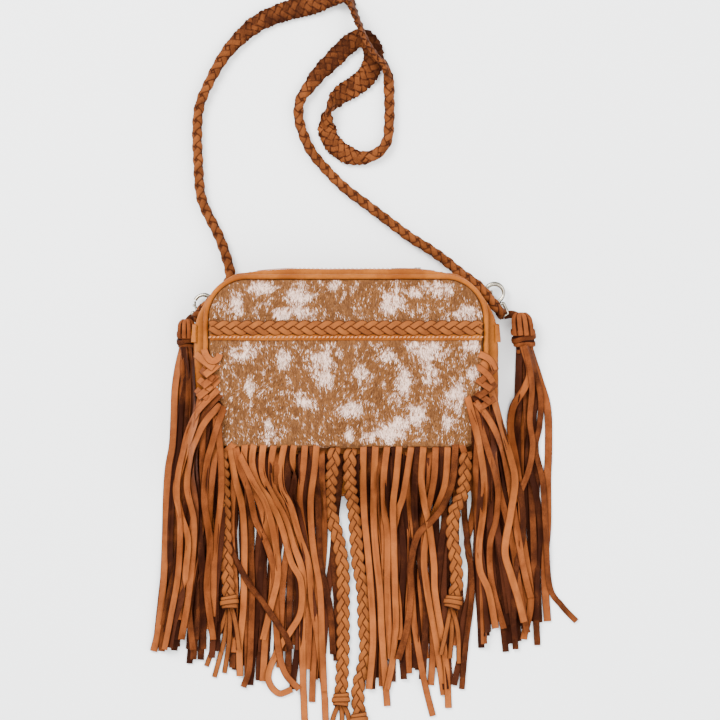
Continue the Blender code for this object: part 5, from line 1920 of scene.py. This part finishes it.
BOTTOM_RIGHT = (
    Strip(((370, 444), (366, 500), (372, 560), (376, 620), (372, 690)), 0.0064, 0.16),
    Strip(((394, 444), (398, 500), (404, 560), (400, 620), (404, 680)), 0.0064, 0.15),
    Strip(((418, 444), (414, 500), (420, 560), (426, 610), (422, 680)), 0.0064, 0.16),
    Strip(((441, 444), (446, 500), (440, 560), (436, 621), (446, 690)), 0.0064, 0.20),
    Strip(((363.5, 444), (363, 477), (364.4, 516), (368, 554), (371, 592), (373, 640), (369, 690)),
          0.0068, 0.62),
    Strip(((411, 445), (406.6, 474), (402.7, 497), (397, 515), (392, 550), (398, 600), (400, 640)),
          0.0066, 0.58),
    Strip(((375.4, 444), (374, 477), (373.6, 516), (376, 554), (380, 592), (381.7, 630.5), (384.5, 669),
           (387.4, 707)), 0.0068, 0.64),
    Strip(((387, 444), (383.6, 477), (384.5, 512), (387.4, 535), (387.4, 592), (389, 630.5), (391, 659)),
          0.0066, 0.56),
    Strip(((435, 445), (434, 474), (430.5, 497), (426, 520), (424, 560), (431, 611), (433, 650), (431, 686)),
          0.0066, 0.54),
    Strip(((399, 444), (396, 477), (393, 506), (394, 544), (395, 592), (396, 621), (393, 659), (387, 690)),
          0.0066, 0.68),
    Strip(((447, 445), (445, 481), (439, 502), (430, 524), (424, 556), (427, 590), (436, 640), (444, 696)),
          0.0066, 0.60),
    Strip(((423, 445), (421, 477), (424, 502), (429.5, 527), (434, 563.5), (435, 592), (441, 630.5),
           (446.7, 669), (448.7, 709)), 0.0068, 0.62),
    Strip(((414, 550), (410, 570), (412, 592), (414, 621), (420, 659), (425.7, 688),
           (433, 717)), 0.0064, 0.50),
    Strip(((455, 440), (452, 480), (443, 506), (433, 519.5), (418, 535), (411, 563.5), (411, 592),
           (406.6, 630.5), (398, 660)), 0.0068, 0.34),
    Strip(((460, 441), (468, 466), (475, 497), (471.6, 523), (466, 548), (471, 566), (470, 592), (464, 621),
           (462, 650), (454, 686)), 0.0066, 0.52, turns=((0.45, 1.0),)),
    Strip(((464, 484), (465, 520), (470, 560), (472, 595), (466, 646), (462, 690)), 0.0058, 0.26),
)


@dataclass(frozen=True)
class Spray:
    """Loose strips that fan out from one line of starts to one line of ends, laid by formula."""

    starts: Tuple[Pixel, Pixel]
    ends: Tuple[Pixel, Pixel]
    count: int
    tones: Tuple[float, float]
    seed: int
    sway: float = 7.0
    width: float = 0.0064
    spread: Pixel = (9.0, 24.0)
    starts_in: bool = True

    KNOTS = 8
    WAVES = 4.6
    WHOLE_TURN = ((-1.0, 1.0),)
    TURNED_SHARE = 0.3

    def strips(self) -> List[Strip]:
        """Work out the strips by chance, between both lines.

        Returns:
            The strips in the order in which they are laid.
        """
        chance = random.Random(self.seed)
        order = list(range(self.count))
        chance.shuffle(order)
        made = []
        for number in order:
            share = (number + chance.uniform(0.25, 0.75)) / self.count
            start = [a + (b - a) * share for a, b in zip(*self.starts)]
            end = [a + (b - a) * share + chance.uniform(-reach, reach)
                   for a, b, reach in zip(*self.ends, self.spread)]
            sway = self.sway * chance.uniform(0.4, 1.0)
            phase = chance.uniform(0, 2 * math.pi)
            route = []
            for knot in range(self.KNOTS + 1):
                along = knot / self.KNOTS
                fade = math.sin(math.pi * min(1.0, along * 1.25))
                drift = sway * math.sin(phase + self.WAVES * along) * fade * 0.8
                route.append((start[0] + (end[0] - start[0]) * along ** 1.25 + drift,
                              start[1] + (end[1] - start[1]) * along))
            turned = self.WHOLE_TURN if chance.random() < self.TURNED_SHARE else ()
            made.append(Strip(tuple(route), self.width, chance.uniform(*self.tones), turned,
                              starts_in=self.starts_in))
        return made


# Painted shade: the under layers take darker tones than the strips over them, so the gaps between the top
# strips look shaded
UNDER_LEFT = Spray(((230, 452), (344, 451)), ((222, 655), (334, 668)), 18, (0.02, 0.26), 3)
UNDER_RIGHT = Spray(((352, 452), (462, 450)), ((366, 668), (456, 655)), 17, (0.02, 0.26), 5)
OVER_LEFT = Spray(((232, 450), (326, 449)), ((226, 660), (326, 672)), 9, (0.30, 0.56), 8)
OVER_RIGHT = Spray(((366, 450), (460, 449)), ((372, 676), (460, 660)), 8, (0.30, 0.56), 9)
SIDE_UNDER_LEFT = Spray(((197, 402), (222, 412)), ((163, 638), (220, 645)), 13, (0.04, 0.34), 13, 8.0)
SIDE_UNDER_RIGHT = Spray(((472, 412), (496, 402)), ((474, 640), (530, 632)), 13, (0.04, 0.34), 17, 8.0)
SIDE_OVER_LEFT = Spray(((199, 396), (222, 404)), ((165, 632), (216, 636)), 6, (0.36, 0.60), 19, 8.0)
SIDE_OVER_RIGHT = Spray(((473, 404), (493, 396)), ((482, 636), (528, 628)), 6, (0.36, 0.60), 23, 8.0)
TASSEL_UNDER_LEFT = Spray(((181, 346), (193, 346)), ((157, 630), (196, 636)), 6, (0.08, 0.40), 29, 6.0,
                          starts_in=False)
TASSEL_UNDER_RIGHT = Spray(((519, 346), (531, 346)), ((510, 628), (549, 618)), 6, (0.08, 0.40), 31, 6.0,
                           starts_in=False)


@dataclass(frozen=True)
class Drop:
    """A plaited drop: its route down to the knot, and its loose tails."""

    letter: str
    route: Tuple[Pixel, ...]
    tails: Tuple[Tuple[Pixel, ...], ...]


DROPS = (
    Drop("a", ((222, 452), (224, 475), (224.5, 505), (225, 535), (227, 570), (229, 598)),
         (((229, 606), (222, 625), (213, 648), (206, 667)), ((229, 607), (224, 640), (214, 678)),
          ((230, 607), (229, 640), (224, 674)), ((231, 606), (236, 626), (239, 650)))),
    Drop("b", ((334, 447), (334, 458), (331.4, 477), (329.5, 502), (333, 521), (339, 544), (343, 573),
               (343, 611), (343, 650), (341, 696)),
         (((340, 703), (334, 716), (331, 733)), ((341, 704), (342, 720), (340, 738)),
          ((342, 703), (348, 716), (350, 732)))),
    Drop("c", ((350.5, 448), (349.6, 468), (350.5, 487), (354.4, 516), (356, 539), (358, 563.5), (363, 592),
               (364, 621), (366, 650), (363, 669), (358, 690), (359, 716)),
         (((359, 724), (353, 736), (351, 748)), ((360, 724), (360, 738), (362, 750)),
          ((361, 724), (367, 736), (369, 747)))),
    Drop("d", ((465, 452), (464, 479), (462, 493), (454.4, 512), (452.5, 535), (455.4, 558), (457, 583),
               (454, 598)),
         (((450, 606), (452, 630), (450, 659)), ((451, 607), (446, 632), (441, 655)),
          ((452, 607), (458, 632), (459, 664)))),
)


@dataclass
class Fringe:
    """All loose strips: side thongs, bottom thongs, plaited drops and tassels."""

    palette: Palette
    ground: Ground
    braid_row: float = 0.0015
    tail: float = 0.0050
    wrap_lace: float = 0.0052
    wrap_thick: float = 0.0017
    wrap_half: Tuple[float, float] = (0.0076, 0.0044)

    def __post_init__(self) -> None:
        """Start to lay strips on the ground."""
        self.layer = StripLayer(self.ground)

    def bundle(self, name: str, strips: Sequence[Strip], nodes: Sequence[str]) -> None:
        """Lay some strips as one piece.

        Args:
            name: The piece's name.
            strips: The strips, the lowest first.
            nodes: The CAD nodes that it stands for.
        """
        shape = Shape()
        for strip in strips:
            self.layer.lay(shape, strip)
        made = shape.build(name, self.palette[LACE])
        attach(made, "bag")
        if nodes:
            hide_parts(*nodes)
        LOG.info("%s built from %d strips", name, len(strips))

    def drop(self, drop: Drop) -> None:
        """Build one plaited drop with its wrapped knot and tails.

        Args:
            drop: The drop.
        """
        flat = curve_through([from_photo(p) for p in drop.route], self.braid_row)
        side = across_floor(flat)
        lanes = np.linspace(-1, 1, 7)
        spots = flat[:, None, :] + side[:, None, :] * (lanes[None, :, None] * 0.0058)
        rest = blurred(blurred(highest(self.ground.under(spots), 3), 5), 5).max(1)
        start = np.clip(1 - np.arange(len(flat)) / 4.0, 0, 1) ** 2 * 0.004
        path = np.column_stack([flat, rest + 0.0027 - start])
        flat_side = np.column_stack([side, np.zeros(len(side))])
        up = unit(np.cross(flat_side, headings(path)))
        up = np.where(up[:, 2:] < 0, -up, up)
        shape = Shape()
        Plait(3, 0.0033, 0.0011, 0.0345, 0.0064, 0.0016).weave(shape, path, flat_side, up, 0.60)
        self.ground.cover(spots, np.repeat(path[:, 2:] + 0.0022, 7, axis=1))
        for tail in drop.tails:
            self.layer.lay(shape, Strip(tail, self.tail, 0.52, starts_in=False))
        end, way, aside = path[-1], headings(path)[-1], flat_side[-1]
        top = np.cross(aside, way)
        top = top if top[2] > 0 else -top
        base = end[2] - 0.0024
        for k, (shift, swell) in enumerate(((0.0000, 0.92), (0.0042, 1.08), (0.0080, 0.90))):
            angle = np.linspace(0, 2.1 * math.pi, 32)
            half_w, half_h = self.wrap_half[0] * swell, self.wrap_half[1] * swell
            middle = end + way * shift
            middle[2] = max(base, 0.0) + half_h + 0.0004
            line = (middle + aside * np.cos(angle)[:, None] * half_w + top * np.sin(angle)[:, None] * half_h
                    + way * (0.0010 * np.cos(angle + k))[:, None])
            out = unit(aside * np.cos(angle)[:, None] + top * np.sin(angle)[:, None] * 1.6)
            rows = lace_rows(line, out, self.wrap_lace, self.wrap_thick, 60)
            shape.lace(above_floor(rows), 0.62 - 0.05 * k, line)
        made = shape.build("plaited_drop_" + drop.letter, self.palette[BRAID])
        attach(made, "bag")
        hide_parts("braided_drop_" + drop.letter)
        LOG.info("drop %s built", drop.letter)

    def build(self) -> None:
        """Build the whole fringe, from what lies lowest to what lies on top."""
        side_nodes = {s: ["side_thong_%s_%d" % (s.word, n) for n in (1, 2, 3)] for s in Side}
        self.bundle("tassel_strips_left", TASSEL_UNDER_LEFT.strips() + list(LEFT_TASSEL), ["tassel_left"])
        self.bundle("tassel_strips_right", TASSEL_UNDER_RIGHT.strips() + list(RIGHT_TASSEL),
                    ["tassel_right"])
        thongs = ["thong_%02d" % n for n in range(1, 19)]
        self.bundle("fringe_under_left", UNDER_LEFT.strips(), [])
        self.bundle("fringe_under_right", UNDER_RIGHT.strips(), [])
        self.drop(DROPS[1])
        self.drop(DROPS[2])
        self.bundle("fringe_strips_left", OVER_LEFT.strips() + list(BOTTOM_LEFT), thongs[:9])
        self.bundle("fringe_strips_right", OVER_RIGHT.strips() + list(BOTTOM_RIGHT), thongs[9:])
        self.drop(DROPS[0])
        self.drop(DROPS[3])
        self.bundle("side_under_left", SIDE_UNDER_LEFT.strips(), [])
        self.bundle("side_under_right", SIDE_UNDER_RIGHT.strips(), [])
        self.bundle("side_strips_left", SIDE_OVER_LEFT.strips() + list(LEFT_SIDE), side_nodes[Side.LEFT])
        self.bundle("side_strips_right", SIDE_OVER_RIGHT.strips() + list(RIGHT_SIDE), side_nodes[Side.RIGHT])
        self.bundle("edge_lacing_left", LEFT_LACING, [])
        self.bundle("edge_lacing_right", RIGHT_LACING, [])


# The stage

@dataclass(frozen=True)
class Lamp:
    """A soft square light: its name, its place, the length of its side and its power in watts."""

    name: str
    place: Point
    size: float
    power: float


@dataclass(frozen=True)
class Studio:
    """The floor, the lights and the camera above the bag."""

    centre_pixel: Pixel = (360.0, 360.0)
    camera_height: float = 4.0
    sensor: float = 36.0
    sharp_plane: float = 0.012
    floor_half: float = 3.0
    sky: Colour = (0.95, 0.97, 1.0)
    sky_strength: float = 1.4
    lamps: Tuple[Lamp, ...] = (Lamp("key", (-1.1, 1.3, 1.9), 1.3, 165.0),
                               Lamp("fill", (1.4, 0.2, 1.7), 1.8, 60.0),
                               Lamp("low", (0.2, -1.6, 1.5), 1.6, 42.0))

    def build(self, palette: Palette) -> None:
        """Set up the stage.

        Args:
            palette: Where the floor's material comes from.
        """
        shape = Shape()
        spread = np.linspace(-self.floor_half, self.floor_half, 5)
        rows = np.stack([np.stack([np.full(5, x), spread, np.zeros(5)], axis=1) for x in spread])
        shape.grid(rows)
        floor = shape.build("floor", palette[FLOOR], outward=False)
        floor.location.z = -0.0002
        x, y = from_photo(self.centre_pixel)
        data = bpy.data.cameras.new("camera")
        data.sensor_width = self.sensor
        distance = self.camera_height - self.sharp_plane
        data.lens = self.sensor * distance / (FRAME_PIXELS * PIXEL)
        data.clip_end = 50.0
        camera = bpy.data.objects.new("camera", data)
        camera.location = (x, y, self.camera_height)
        bpy.context.scene.collection.objects.link(camera)
        bpy.context.scene.camera = camera
        for lamp in self.lamps:
            self.light(lamp)
        world = bpy.data.worlds.new("studio")
        world.use_nodes = True
        world.node_tree.nodes["Background"].inputs[0].default_value = (*self.sky, 1.0)
        world.node_tree.nodes["Background"].inputs[1].default_value = self.sky_strength
        bpy.context.scene.world = world

    def light(self, lamp: Lamp) -> None:
        """Add one light, which faces the bag."""
        data = bpy.data.lights.new(lamp.name, "AREA")
        data.size = lamp.size
        data.energy = lamp.power
        made = bpy.data.objects.new(lamp.name, data)
        made.location = lamp.place
        made.rotation_euler = Vector(lamp.place).to_track_quat("Z", "Y").to_euler()
        bpy.context.scene.collection.objects.link(made)


# CAD nodes that are kept as they are, with the finish of each
KEPT_FINISHES = {
    "zip_slider": NICKEL, "zip_pull": NICKEL, "d_ring_left": NICKEL, "d_ring_right": NICKEL,
    "ring_loop_left": CARAMEL, "ring_loop_right": CARAMEL, "side_tab_left": CARAMEL,
    "side_tab_right": CARAMEL, "lining": LINING_CLOTH,
}

# CAD nodes that the fringe rests on
RESTED_ON = ("gusset", "front_panel", "pocket_panel", "piping", "zip_panel_front", "side_tab_left",
             "side_tab_right")

# Each knot's top, bottom, width and height
KNOTS = {Side.LEFT: ((-0.1540, 0.0415, 0.0105), (-0.1535, 0.0090, 0.0040), 0.0200, 0.0190),
         Side.RIGHT: ((0.1690, 0.0480, 0.0105), (0.1735, 0.0085, 0.0040), 0.0240, 0.0190)}


def clear_scene() -> None:
    """Remove what the open file holds."""
    for old in list(bpy.data.objects):
        bpy.data.objects.remove(old, do_unlink=True)


def main() -> None:
    """Build the whole picture in order."""
    logging.basicConfig(level=logging.INFO, format="%(name)s: %(message)s")
    clear_scene()
    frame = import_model()
    palette = Palette()
    Studio().build(palette)
    Strap(palette).build()
    for name, finish in KEPT_FINISHES.items():
        node = frame["nodes"][name]
        node.data.materials.clear()
        node.data.materials.append(palette[finish])
    ground = Ground([frame["nodes"][name] for name in RESTED_ON])
    LOG.info("ground measured")
    Body(palette).build()
    for side in Side:
        Clasp(palette, side).build()
    for side in Side:
        Knot(palette, side, *KNOTS[side]).build()
    Fringe(palette, ground).build()


if __name__ == "__main__":
    main()
